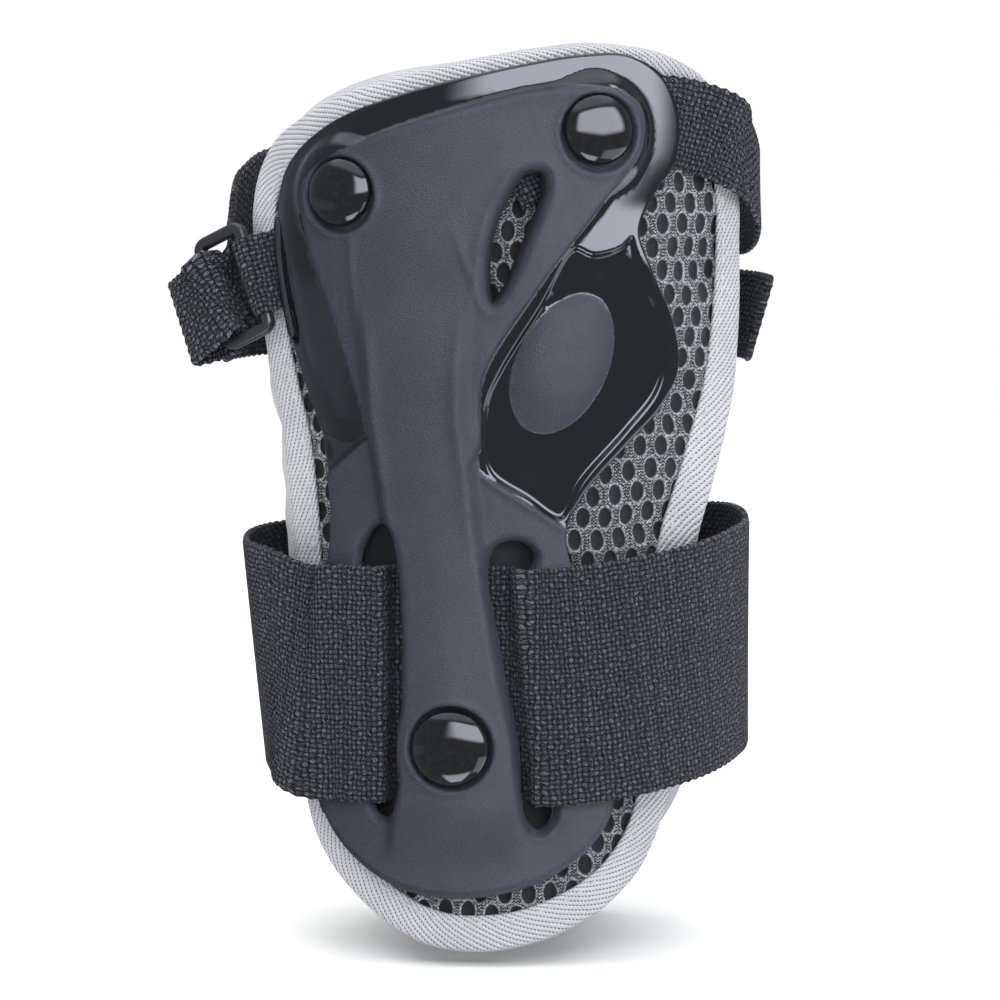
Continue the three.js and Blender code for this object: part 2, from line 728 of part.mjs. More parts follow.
const handStations = [
  { p: palm(0.5, 104.8, UNDER_PLATE_H).toArray(), w: [-0.5, 0, 0.87] },
  { p: palm(11, 109.8, UNDER_PLATE_H).toArray(), w: [-0.38, 0, 0.92] },
  { p: palm(21, 113, UNDER_PLATE_H + 0.1).toArray(), w: [-0.15, 0, 1] },
  { p: palm(31, 114.4, 2.2).toArray(), w: [0.08, 0, 1] },
  { p: palm(38, 113.4, 2.7).toArray(), w: [0.15, 0, 1] },
  { p: palm(44.5, 110.4, 4.4).toArray(), w: [0.12, 0, 1] },
  { p: [52.6, -12.5, 105.2], w: [-0.02, 0.3, 1] },
  { p: [55, -3.5, 99.6], w: [0, 0.4, 1] },
  { p: [54.2, 6, 95.4], w: [0, 0.2, 1] },
  { p: [50.6, 17.5, 94] },
  { p: overBack(40, HAND_BACK_H + 0.5, 95) },
  { p: overBack(24, HAND_BACK_H, 97.6) },
  { p: overBack(5, HAND_BACK_H, 100.4) },
  { p: overBack(-18, HAND_BACK_H, 102), w: [-0.04, 0, 1] },
  { p: overBack(-37, HAND_BACK_H, 101), w: [-0.1, 0, 1] },
  { p: [-48.6, 20, 98.6], w: [-0.15, 0, 1] },
  { p: [-54.4, 9, 95], w: [-0.1, -0.2, 1] },
  { p: [-56.8, 0, 90.5], w: [0, -0.25, 1] },
  { p: [-56.6, -7, 85.5], w: [-0.1, -0.1, 1] },
  { p: fold(FREE, STRAP_TURN, 180, 3), w: along },
  ...[150, 115, 75, 40, 5, -30, -60, -82].map((angle) => ({ p: looseFold(angle), w: along })),
];
const upperRivetHole = post(RIVETS[1], STRAP_HOLE, ...PAST_STRAP);
const handStrap = webbing(handStations, HAND_WEB, HAND_THICK, 78).subtract(upperRivetHole);
part("hand_strap", handStrap, COLOUR.webbing, 0.9);

// Its free tail carries on from the fold, outside the first run, and closes on the back.
const TAIL_H = 7.7;
const tailStations = [
  { p: [-60.2, -6.9, 72.8], w: [-0.2, 0.2, 1] },
  { p: [-60, 1, 71.9], w: [-0.1, 0.08, 1] },
  { p: [-58, 10, 71.7] },
  { p: [-51.5, 22, 71.8] },
  { p: overBack(-37, TAIL_H + 0.3, 71.8) },
  { p: overBack(-20, TAIL_H, 71.8) },
  { p: overBack(0, TAIL_H, 71.8) },
  { p: overBack(20, TAIL_H, 71.8) },
  { p: overBack(38, TAIL_H, 72) },
  { p: [50.8, 19.5, 71.8], w: [0.05, 0, 1] },
  { p: [55.2, 7, 71.6], w: [0.15, 0.1, 1] },
  { p: [55.8, -3, 71.6], w: [0.28, 0.2, 1] },
];
const handTail = webbing(tailStations, HAND_WEB, HAND_THICK, 30);
part("hand_strap_tail", handTail, COLOUR.webbing, 0.9);
const HAND_PATCH = HAND_WEB - 2;
const HAND_LOOP_H = POCKET[1] + LAYER_GAP + PATCH_THICK / 2 + 0.1;
const HAND_HOOK_H = TAIL_H - HAND_THICK / 2 - LAYER_GAP - PATCH_THICK / 2 - 0.1;
const HAND_Z = 71.8;
const handLoop = backPatch(-14, 14, HAND_Z, HAND_PATCH, HAND_LOOP_H);
part("hand_loop", handLoop, COLOUR.loops, 0.95);
const handHook = backPatch(-16, 16, HAND_Z, HAND_PATCH, HAND_HOOK_H);
part("hand_hook", handHook, COLOUR.hooks, 0.95);

// ---------------------------------------------------------------- the plate, relieved for the straps

let moulding = plate(PLATE_RIM, PLATE_HEART, palm, PLATE_UNDER, PLATE_GLOSS)
  .add(plate(MATTE_RIM, MATTE_HEART, palm, PLATE_UNDER + 1, PLATE_MATTE))
  .add(ribSolid());
for (const cut of [SLOT_LEFT, SLOT_RIGHT, VENT]) {
  moulding = moulding.subtract(through(cut));
}
moulding = moulding
  .subtract(pocket(STRAP_RELIEF, PAST_UNDERSIDE, RELIEF_TOP))
  .subtract(pocket(TAB_POCKET, PAST_UNDERSIDE, POCKET_TOP))
  .subtract(pocket(HAND_POCKET, PAST_UNDERSIDE, POCKET_TOP))
  .subtract(webbing(tabStations.slice(0, 4), TAB_WEB + 1, TAB_THICK + 0.8, 5))
  .subtract(webbing(handStations.slice(0, 7), HAND_WEB + 1, HAND_THICK + 0.8, 12));
for (const r of RIVETS) {
  moulding = moulding
    .subtract(post(r, r.cap + CAP_WELL_CLEAR, r.floor, IN_FRONT))
    .subtract(post(r, SHANK_HOLE, PAST_UNDERSIDE, IN_FRONT));
}
part("palm_plate", moulding, COLOUR.plate, 0.45);

export default group;
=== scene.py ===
"""Looks of the palm-side wrist guard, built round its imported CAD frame. Lengths are in mm unless
a name ends in _m; a mesh is scaled to metres when it is made."""

import math

import bmesh
import bpy
import numpy as np
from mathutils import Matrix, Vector, geometry, noise
from mathutils.bvhtree import BVHTree


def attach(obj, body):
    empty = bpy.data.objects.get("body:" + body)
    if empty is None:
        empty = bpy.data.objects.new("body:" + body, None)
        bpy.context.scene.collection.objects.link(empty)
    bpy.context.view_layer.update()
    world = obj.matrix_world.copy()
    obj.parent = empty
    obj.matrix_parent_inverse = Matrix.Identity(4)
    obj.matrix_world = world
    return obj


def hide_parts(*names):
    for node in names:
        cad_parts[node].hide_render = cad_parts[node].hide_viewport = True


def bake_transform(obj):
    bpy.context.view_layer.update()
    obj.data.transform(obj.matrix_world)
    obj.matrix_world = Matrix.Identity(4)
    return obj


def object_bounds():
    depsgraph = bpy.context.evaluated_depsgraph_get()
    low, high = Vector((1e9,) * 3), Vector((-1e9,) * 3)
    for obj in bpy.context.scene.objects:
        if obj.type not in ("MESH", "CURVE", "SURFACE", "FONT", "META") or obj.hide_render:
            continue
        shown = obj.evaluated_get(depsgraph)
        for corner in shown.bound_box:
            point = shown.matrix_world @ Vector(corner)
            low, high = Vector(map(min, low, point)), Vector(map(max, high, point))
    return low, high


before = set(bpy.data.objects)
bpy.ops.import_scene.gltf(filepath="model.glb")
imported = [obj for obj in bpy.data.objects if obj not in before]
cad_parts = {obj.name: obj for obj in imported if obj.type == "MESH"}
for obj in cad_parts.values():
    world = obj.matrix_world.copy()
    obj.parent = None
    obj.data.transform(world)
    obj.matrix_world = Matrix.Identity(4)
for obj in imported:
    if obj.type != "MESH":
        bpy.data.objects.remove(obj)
cad_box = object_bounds()
MM = 0.001

# ------------------------------------------------------------------ the guard's own dimensions
# The same driving sizes as the CAD part's.
FORM_X = -1.0
FORM_R = 66.0
PALM_FACE = 33.0
DORSAL_FACE = 33.0
BOW, BOW_FROM, BOW_TO = 4.0, 28.0, 132.0
PLATE_UNDER = 1.9
PLATE_GLOSS = 4.9
PLATE_MATTE = 6.5
RIB_TOP = 8.9
RIVETS = [
    {"name": "upper_left", "x": -33.3, "z": 99.2, "cap": 14.2, "seat": PLATE_MATTE, "floor": 5.2},
    {"name": "upper_right", "x": 20.4, "z": 112.1, "cap": 14.8, "seat": PLATE_MATTE, "floor": 5.2},
    {"name": "lower", "x": -10.4, "z": -15.6, "cap": 16.4, "seat": RIB_TOP, "floor": 7.4},
]
SHANK = 4.6
WRIST_WEB, WRIST_THICK = 50.0, 1.5
HAND_WEB, HAND_THICK = 19.0, 1.3
TAB_WEB, TAB_THICK = 17.0, 1.1
PATCH_THICK = 0.9
LAYER_GAP = 0.35
RING_INNER, RING_BAR, RING_REACH = 20.2, 2.6, 10.8
PANEL_BACK = -7.8
BINDING_WIDTH = 8.0
BINDING_TOP = 1.4
TAPE_SWELL = 0.32

PALM_RIM = [
    (0, 127.9), (20.8, 130.2), (35, 128), (44.8, 121), (49.8, 105), (50.6, 86), (49.6, 58),
    (45.4, 38.1), (41.2, 22), (37.2, -22.3), (31, -42), (20.8, -52.7), (2.7, -59.8),
    (-15.8, -59.2), (-30.6, -49.6), (-39.8, -35.8), (-43, -5), (-43.9, 25), (-45.6, 46),
    (-49, 64), (-52.1, 96), (-48.5, 108.5), (-38, 117.5), (-20, 123.8),
]
DORSAL_RIM = [
    (0, 127), (-30, 122.5), (-43, 115), (-49, 98), (-48, 64), (-44, 36), (-42.5, 0),
    (-39, -30), (-27, -51), (-2, -61.5), (18, -59), (34.5, -45), (43, -24), (43.5, 20),
    (45, 52), (47, 84), (44, 112), (28, 125),
]
PLATE_RIM = [
    (4.2, 126), (17.5, 128.1), (27, 128), (34.5, 123.5), (37.9, 115.2), (37, 106.5),
    (31.5, 97), (29.4, 91.5), (31.9, 83.5), (36.5, 72.3), (37.6, 63), (34, 55), (26.9, 47.3),
    (17.5, 36.7), (13.9, 29), (16, 18), (24.4, -24), (23.5, -32), (18.8, -38.5), (8, -45.3),
    (-10.4, -48.5), (-24, -45.7), (-35, -37), (-39.8, -26), (-38.3, 5), (-35.8, 34),
    (-38.5, 48.5), (-44.5, 67), (-48.2, 90), (-46.4, 104), (-38, 113), (-22, 119.7),
]
MATTE_RIM = [
    (-31.5, 109.2), (-10.4, 116.5), (8, 121), (20, 121.7), (29, 118), (29.5, 109), (22.1, 98.3),
    (8.1, 80.2), (-3.5, 61.7), (-5, 45), (-16, 38), (-26.5, 46), (-30.5, 58), (-35.6, 74),
    (-41.3, 92.3), (-40.5, 102.5),
]
VENT = [
    (-2.9, 80), (-2.6, 88.8), (-0.1, 96.6), (4.9, 104), (8.8, 104.4), (9.8, 100.8),
    (6.2, 90.3), (0.4, 78.4), (-1.8, 76.8),
]
# The dished glossy zone beside the raised head, and the edges of the matte foot below the gloss.
BOWL_RIM = [
    (15.4, 88.7), (19.4, 87.3), (25, 88.7), (27.6, 91), (29, 87), (30.6, 81), (33.8, 74),
    (35.2, 66), (33.3, 58), (27, 50), (17.6, 39.5), (13, 31.5), (5.4, 36), (-2.6, 42),
    (-3.4, 56), (-0.6, 63), (7.5, 76),
]
FOOT_EDGE = [(-40, 37), (-35.8, 41), (-28.5, 47.9), (-27, 49), (-4, 42), (-3.5, 41.3),
             (5.4, 35.4), (13.3, 30.4), (20, 26)]
# The rib's left and right ridges down the plate: (z, left, right).
RIB = [
    (92, -32, -10), (82, -31.7, -6), (65, -29.4, -7.1), (53, -28.5, -7.1), (43, -27.1, -5.6),
    (32, -25.4, -4.6), (20.6, -23, -3.1), (7, -22.1, -1), (-1.7, -22.1, 0.6), (-16, -22.1, 3.3),
    (-24, -22.6, 4.4), (-32, -24, 5.5), (-46, -26, 7.5),
]
RIB_RISES = (84, 58)
RIB_ENDS = (-27, -43)
SLOT_LEFT = [
    (-22.3, 29), (-22.3, -29), (-24.3, -31.6), (-26.6, -30), (-26.4, 18), (-29.4, 20.5),
    (-28.4, 27), (-25.5, 30.6),
]
SLOT_RIGHT = [
    (-2.6, 21.5), (-0.4, 7), (1.2, -1.7), (3.9, -16), (5.4, -31), (8.2, -33.8), (11, -31),
    (7.6, -2), (5.7, 19), (7.4, 24.5), (4, 27.4), (-0.6, 26.6),
]
BUMP = {"x": 13.4, "z": 64.4, "long": 15.6, "wide": 9.8, "tilt": math.radians(62), "high": 3.3}
GATE = {"x": 11.2, "z": 77.2, "radius": 2.0}
RELIEF_TOP = 3.6
POCKET_TOP = 3.5
HAND_POCKET = [
    (-8, 98), (-8, 115), (8, 123), (27, 127), (44, 126), (44, 98), (30, 101), (14, 96), (4, 93),
]

# The net's holes: across, down, and the open part's half sizes.
NET_PITCH = 4.9
NET_ROW = 4.65
NET_OPEN = (1.6, 2.35)
NET_DEEP = 1.05

# The straps' weave: the distance between yarns, how far a crossing stands out, and how far a
# selvedge does.
YARN = 1.06
CROWN = 0.15
KNOB = 0.2


# ------------------------------------------------------------------ the two curved sides
def bow(z):
    """How far the palm side bows out at a height."""
    part = np.clip((z - BOW_FROM) / (BOW_TO - BOW_FROM), 0, 1)
    return BOW * np.sin(np.pi * part) ** 2


def unroll(x, h=0.0):
    """The place on a panel's unrolled face under a point that is at x, h over the face."""
    return FORM_R * np.arcsin((np.asarray(x, float) - FORM_X) / (FORM_R + h))


def palm(s, z, h):
    """The point at a place on the unrolled palm side, h out from its face."""
    s, z, h = np.broadcast_arrays(*(np.asarray(v, float) for v in (s, z, h)))
    out = FORM_R + h
    y = FORM_R - PALM_FACE - bow(z) - out * np.cos(s / FORM_R)
    return np.stack([FORM_X + out * np.sin(s / FORM_R), y, z], -1)


def dorsal(s, z, h):
    """The same on the back of the hand's side."""
    s, z, h = np.broadcast_arrays(*(np.asarray(v, float) for v in (s, z, h)))
    out = FORM_R + h
    y = DORSAL_FACE - FORM_R + out * np.cos(s / FORM_R)
    return np.stack([FORM_X + out * np.sin(s / FORM_R), y, z], -1)


def smooth(t):
    """A soft step from 0 to 1 as t goes from 0 to 1."""
    t = np.clip(t, 0, 1)
    return t * t * (3 - 2 * t)


# ------------------------------------------------------------------ lines and outlines
# Points on each span of a line.
SPAN_POINTS = 24


def spline(points, closed=False):
    """A centripetal Catmull-Rom line through points, and each of its points' place in stations."""
    p = np.asarray(points, float)
    if closed:
        ext = np.concatenate([p[-1:], p, p[:2]])
    else:
        ext = np.concatenate([[2 * p[0] - p[1]], p, [2 * p[-1] - p[-2]]])
    spans = len(p) if closed else len(p) - 1
    t = np.arange(SPAN_POINTS)[:, None] / SPAN_POINTS
    rows = []
    for i in range(spans):
        p0, p1, p2, p3 = ext[i : i + 4]
        d0, d1, d2 = (
            max(np.linalg.norm(b - a), 1e-9) ** 0.5 for a, b in ((p0, p1), (p1, p2), (p2, p3))
        )
        m1 = ((p1 - p0) / d0 - (p2 - p0) / (d0 + d1) + (p2 - p1) / d1) * d1
        m2 = ((p2 - p1) / d1 - (p3 - p1) / (d1 + d2) + (p3 - p2) / d2) * d1
        square = 3 * (p2 - p1) - 2 * m1 - m2
        cube = 2 * (p1 - p2) + m1 + m2
        rows.append(p1 + t * m1 + t**2 * square + t**3 * cube)
    line = np.concatenate(rows)
    place = np.arange(spans * SPAN_POINTS) / SPAN_POINTS
    if not closed:
        line = np.concatenate([line, p[-1:]])
        place = np.append(place, spans)
    return line, place


def runs(line):
    """Each point's distance along a line from its first point."""
    return np.concatenate([[0], np.cumsum(np.linalg.norm(np.diff(line, axis=0), axis=1))])


def closed_up(line):
    """A closed line with its first point again at the end."""
    return np.concatenate([line, line[:1]])


def even(line, step, closed, *others):
    """The line resampled at even steps, with its lengths and whatever else goes along it."""
    if closed:
        line = closed_up(line)
    length = runs(line)
    count = max(3, round(length[-1] / step))
    at = np.linspace(0, length[-1], count + 1)
    if closed:
        at = at[:-1]
    rows = [np.stack([np.interp(at, length, c) for c in line.T], -1)]
    for other in others:
        other = np.asarray(other, float)
        columns = other.T if other.ndim > 1 else [other]
        made = np.stack([np.interp(at, length, c) for c in columns], -1)
        rows.append(made if other.ndim > 1 else made[:, 0])
    return (at, *rows)


def outline(points, h=0.0, step=1.0):
    """A smooth closed outline, unrolled from the height it was drawn at."""
    flat = [(float(unroll(x, h)), z) for x, z in points]
    return even(spline(flat, True)[0], step, True)[1]


def area_sign(rim):
    """1 for an outline that runs anticlockwise, -1 for one that runs clockwise."""
    nxt = np.roll(rim, -1, 0)
    return np.sign((rim[:, 0] * nxt[:, 1] - nxt[:, 0] * rim[:, 1]).sum())


def inset(rim, by):
    """The closed outline moved in by a distance, or by one for each of its points."""
    run = np.roll(rim, -1, 0) - np.roll(rim, 1, 0)
    run /= np.linalg.norm(run, axis=1)[:, None]
    return rim + np.stack([-run[:, 1], run[:, 0]], -1) * np.reshape(by, (-1, 1)) * area_sign(rim)


def beside(rim, by, step):
    """The closed outline moved in by a distance, with its points at even steps."""
    return even(inset(rim, by), step, True)[1]


def signed(at, rim):
    """Each place's distance from a closed outline, positive inside it."""
    best = np.full(len(at), 1e9)
    inside = np.zeros(len(at), bool)
    for (ax, az), (bx, bz) in zip(rim, np.roll(rim, -1, 0)):
        dx, dz = bx - ax, bz - az
        px, pz = at[:, 0] - ax, at[:, 1] - az
        t = np.clip((px * dx + pz * dz) / (dx * dx + dz * dz + 1e-12), 0, 1)
        best = np.minimum(best, (px - t * dx) ** 2 + (pz - t * dz) ** 2)
        if az != bz:
            crosses = (az > at[:, 1]) != (bz > at[:, 1])
            inside ^= crosses & (at[:, 0] < ax + pz * dx / dz)
    best = np.sqrt(best)
    return np.where(inside, best, -best)


def thin(groups, apart):
    """The groups' points in order, without any that crowds an earlier one."""
    taken = {}
    kept = []
    for group in groups:
        for x, z in group:
            i, j = int(x // apart), int(z // apart)
            near = (
                p
                for a in (i - 1, i, i + 1)
                for b in (j - 1, j, j + 1)
                for p in taken.get((a, b), ())
            )
            if all((x - p[0]) ** 2 + (z - p[1]) ** 2 >= apart**2 for p in near):
                taken.setdefault((i, j), []).append((x, z))
                kept.append((x, z))
    return np.array(kept)


def staggered(low, high, pitch, row):
    """Rows of points over a box, every second row half a pitch further across."""
    points = []
    for j, z in enumerate(np.arange(low[1], high[1], row)):
        x = np.arange(low[0] + (j % 2) * pitch / 2, high[0], pitch)
        points.append(np.stack([x, np.full(len(x), z)], -1))
    return np.concatenate(points)


def hexes(rim, step):
    """An even spread of points over an outline's box."""
    return staggered(rim.min(0), rim.max(0), step, step * 0.866)


def triangulate(rim, points, holes=()):
    """(points, triangles, index of each rim and hole point) of a flat region with holes."""
    loops = [rim, *holes]
    coords = np.concatenate([*loops, points])
    edges = []
    start = 0
    for loop in loops:
        n = len(loop)
        edges += [(start + i, start + (i + 1) % n) for i in range(n)]
        start += n
    made = geometry.delaunay_2d_cdt([Vector(c) for c in coords], edges, [], 1, 1e-5, True)
    flat = np.array([tuple(v) for v in made[0]])
    faces = np.array([f for f in made[2] if len(f) == 3])
    index = {}
    for new, olds in enumerate(made[3]):
        for old in olds:
            index.setdefault(old, new)
    middle = flat[faces].mean(1)
    keep = signed(middle, rim) > 0
    for hole in holes:
        keep &= signed(middle, hole) < 0
    faces = faces[keep]
    a, b, c = (flat[faces[:, k]] for k in range(3))
    turned = np.cross(b - a, c - a) < 0
    faces[turned] = faces[turned][:, ::-1]
    loops_at = []
    start = 0
    for loop in loops:
        loops_at.append([index[start + i] for i in range(len(loop))])
        start += len(loop)
    return flat, faces, loops_at


# ------------------------------------------------------------------ making pieces
def piece(name, points, faces, material, uv=None, marks=None):
    """A mesh object from points in mm; uv is per point, in mm, and marks are per-point numbers."""
    mesh = bpy.data.meshes.new(name)
    faces = [tuple(int(i) for i in f) for f in faces]
    mesh.from_pydata((np.asarray(points, float) * MM).tolist(), [], faces)
    mesh.validate()
    if uv is not None:
        layer = mesh.uv_layers.new(name="weave")
        corner = np.zeros(len(mesh.loops), int)
        mesh.loops.foreach_get("vertex_index", corner)
        layer.data.foreach_set("uv", np.asarray(uv, float)[corner].ravel())
    for key, values in (marks or {}).items():
        made = mesh.attributes.new(key, "FLOAT", "POINT")
        made.data.foreach_set("value", np.asarray(values, float))
    made = bmesh.new()
    made.from_mesh(mesh)
    bmesh.ops.remove_doubles(made, verts=made.verts, dist=1e-7)
    bmesh.ops.recalc_face_normals(made, faces=made.faces)
    made.to_mesh(mesh)
    made.free()
    mesh.polygons.foreach_set("use_smooth", [True] * len(mesh.polygons))
    obj = bpy.data.objects.new(name, mesh)
    bpy.context.scene.collection.objects.link(obj)
    mesh.materials.append(material)
    return obj


def numbered(rows, wide, start=0):
    """The point numbers of so many rows of points, laid one after another."""
    return [list(range(start + i * wide, start + (i + 1) * wide)) for i in range(rows)]


def show(obj, body, slot, *nodes):
    """The piece rides on a body and stands for CAD nodes, which it hides; slot is not used."""
    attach(obj, body)
    if nodes:
        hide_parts(*nodes)
    return obj


def strips(rows, closed=True):
    """Quads between rows of point numbers."""
    faces = []
    for low, high in zip(rows, rows[1:]):
        n = len(low)
        for i in range(n if closed else n - 1):
            j = (i + 1) % n
            faces.append((low[i], low[j], high[j], high[i]))
    return faces


def both_faces(faces, count):
    """A sheet's triangles, and the same turned over for its back, count points further on."""
    return [tuple(f) for f in faces] + [tuple(f[::-1] + count) for f in faces]


def slab(name, side, region, high, low, material, marks=None):
    """A closed slab over a side; high and low are its two faces' heights at each point."""
    flat, faces, loops = region
    rim = flat[loops[0]]
    count = len(flat)
    wall = list(range(2 * count, 2 * count + len(rim)))
    middle = (high[loops[0]] + low[loops[0]]) / 2
    polygons = both_faces(faces, count)
    polygons += strips([list(loops[0]), wall, [i + count for i in loops[0]]])
    uv = np.concatenate([flat, flat, rim])
    points = side(uv[:, 0], uv[:, 1], np.concatenate([high, low, middle]))
    marks = {
        key: np.concatenate([values, values, np.zeros(len(rim))])
        for key, values in (marks or {}).items()
    }
    return piece(name, points, polygons, material, uv, marks)


def line_frames(stations, step, first=0.0, last=None):
    """Along a strap: lengths, centre points, directions across it and out of its face."""
    line, place = spline([s[0] for s in stations])
    last = len(stations) - 1 if last is None else last
    ways = np.array([s[1] if len(s) > 1 else (0, 0, 1) for s in stations], float)
    ways /= np.linalg.norm(ways, axis=1)[:, None]
    i = np.minimum(place.astype(int), len(stations) - 2)
    t = smooth(place - i)[:, None]
    across = ways[i] * (1 - t) + ways[i + 1] * t
    keep = (place >= first - 1e-9) & (place <= last + 1e-9)
    length, centre, across = even(line[keep], step, False, across[keep])
    along = np.gradient(centre, axis=0)
    along /= np.linalg.norm(along, axis=1)[:, None]
    across -= along * (along * across).sum(1)[:, None]
    across /= np.linalg.norm(across, axis=1)[:, None]
    return length, centre, across, np.cross(across, along)


def sway(length, seed, size, pitch):
    """A slow wander along a strap."""
    return np.array([noise.noise(Vector((v / pitch, seed, 0.5))) for v in length]) * size


def webbing(name, stations, width, thick, material, first=0.0, last=None, seed=1.0):
    """Plain-woven strap with a point at each crossing, raised and sunk by turns, and knobbly
    selvedges that wander slightly."""
    length, centre, across, out = line_frames(stations, YARN, first, last)
    half = thick / 2
    cells = round((width - thick) / YARN)
    flat = (np.arange(cells) - (cells - 1) / 2) * YARN
    # Each section point: place across, height, how much it is raised or knobbed, which column.
    edge = width / 2 - half
    section = [(v, half, 1.0, 0.0, j) for j, v in enumerate(flat)]
    for a in np.radians((60, 30, 0, -30, -60)):
        section.append((edge + half * math.cos(a), half * math.sin(a), 0.0, math.cos(a), cells))
    section += [(v, -half, -1.0, 0.0, cells - 1 - j) for j, v in enumerate(flat[::-1])]
    for a in np.radians((-60, -30, 0, 30, 60)):
        section.append((-edge - half * math.cos(a), half * math.sin(a), 0.0, -math.cos(a), -1))
    place, height, raised, knob, column = np.array(section).T
    lean = sway(length, seed, 0.5, 23.0)
    lift = sway(length, seed + 7, 0.25, 17.0)
    rows = []
    uvs = []
    for i in range(len(length)):
        turn = 1 - 2 * ((i + column) % 2)
        v = place + lean[i] + knob * KNOB * (1 - 2 * (i % 2))
        h = height + lift[i] * (np.abs(place) / (width / 2)) ** 2 + raised * CROWN * turn
        rows.append(centre[i] + v[:, None] * across[i] + h[:, None] * out[i])
        # The back is the other side of the same crossings.
        uvs.append(np.stack([np.full(len(place), i * YARN), place], -1))
    wide = len(section)
    grid = numbered(len(length), wide)
    faces = strips(grid) + [tuple(grid[0][::-1]), tuple(grid[-1])]
    return piece(name, np.concatenate(rows), faces, material, np.concatenate(uvs))


def lathe(profile, steps):
    """Points and rows of a profile (radius, height) turned about the height axis."""
    turn = np.arange(steps) / steps * 2 * np.pi
    points = [
        np.stack([r * np.cos(turn), r * np.sin(turn), np.full(steps, h)], -1) for r, h in profile
    ]
    rows = numbered(len(profile), steps)
    return np.concatenate(points), rows


# Each stitch is drawn as this many rings, of this many points each, and arches up by its lift.
STITCH_RINGS = 5
STITCH_SIDES = 6
STITCH_LIFT = 0.12


def thread(name, line, normals, material, stitch, gap, radius):
    """A row of stitches along a line, each a short sunk loop of thread."""
    length, centre, out = even(line, 0.1, False, normals)
    rings = []
    faces = []
    total = 0
    around = np.arange(STITCH_SIDES) / STITCH_SIDES * 2 * math.pi
    at = gap
    while at + stitch < length[-1]:
        for k, t in enumerate(np.linspace(0, 1, STITCH_RINGS)):
            i = min(len(centre) - 2, int((at + t * stitch) / (length[1] - length[0])))
            along = centre[i + 1] - centre[i]
            along /= np.linalg.norm(along) + 1e-9
            up = out[i] / np.linalg.norm(out[i])
            over = np.cross(along, up)
            thick = radius * (0.35 + 0.65 * math.sin(math.pi * t) ** 0.5)
            sunk = radius * 0.4 * (k in (0, STITCH_RINGS - 1))
            middle = centre[i] + up * (STITCH_LIFT * math.sin(math.pi * t) - sunk)
            for a in around:
                rings.append(middle + (over * math.cos(a) + up * math.sin(a)) * thick)
        rows = numbered(STITCH_RINGS, STITCH_SIDES, total)
        faces += strips(rows) + [tuple(rows[0][::-1]), tuple(rows[-1])]
        total += STITCH_RINGS * STITCH_SIDES
        at += stitch + gap
    return piece(name, np.array(rings), faces, material)


def seam_round(name, side, rim, high, *looks):
    """Stitches round an outline on a side. looks are the thread's, in thread's own order."""
    rim = closed_up(even(rim, 1.0, True)[1])
    line = side(rim[:, 0], rim[:, 1], high)
    out = side(rim[:, 0], rim[:, 1], high + 1) - line
    return thread(name, line, out, *looks)


# ------------------------------------------------------------------ materials
class Nodes:
    """A node tree with short names for the nodes the looks and the studio are built from."""

    def __init__(self, tree):
        self.tree = tree

    def add(self, kind, settings=None, **inputs):
        node = self.tree.nodes.new("ShaderNode" + kind)
        for key, value in (settings or {}).items():
            setattr(node, key, value)
        for key, value in inputs.items():
            self.put(node.inputs[key.replace("_", " ")], value)
        return node

    def put(self, socket, value):
        """Link a socket to another node's output, or set it."""
        if isinstance(value, bpy.types.NodeSocket):
            self.tree.links.new(value, socket)
        else:
            socket.default_value = value

    def times(self, *values):
        """The values multiplied together."""
        made = values[0]
        for value in values[1:]:
            made = self.math("MULTIPLY", made, value)
        return made

    def math(self, operation, *values):
        node = self.add("Math", {"operation": operation})
        for socket, value in zip(node.inputs, values):
            self.put(socket, value)
        return node.outputs[0]

    def mix(self, factor, a, b):
        """The colour a where the factor is 0, and b where it is 1."""
        node = self.add("Mix", {"data_type": "RGBA"})
        self.put(node.inputs[0], factor)
        self.put(node.inputs[6], a)
        self.put(node.inputs[7], b)
        return node.outputs[2]

    def between(self, factor, a, b):
        """The same for two numbers."""
        node = self.add("Mix", {"data_type": "FLOAT"})
        for number, value in ((0, factor), (2, a), (3, b)):
            self.put(node.inputs[number], value)
        return node.outputs[0]

    def ramp(self, value, low, high, to_low=0.0, to_high=1.0):
        """A soft step from to_low to to_high as the value goes from low to high."""
        node = self.add("MapRange", {"interpolation_type": "SMOOTHSTEP"})
        for socket, number in zip(node.inputs, (value, low, high, to_low, to_high)):
            self.put(socket, number)
        return node.outputs[0]


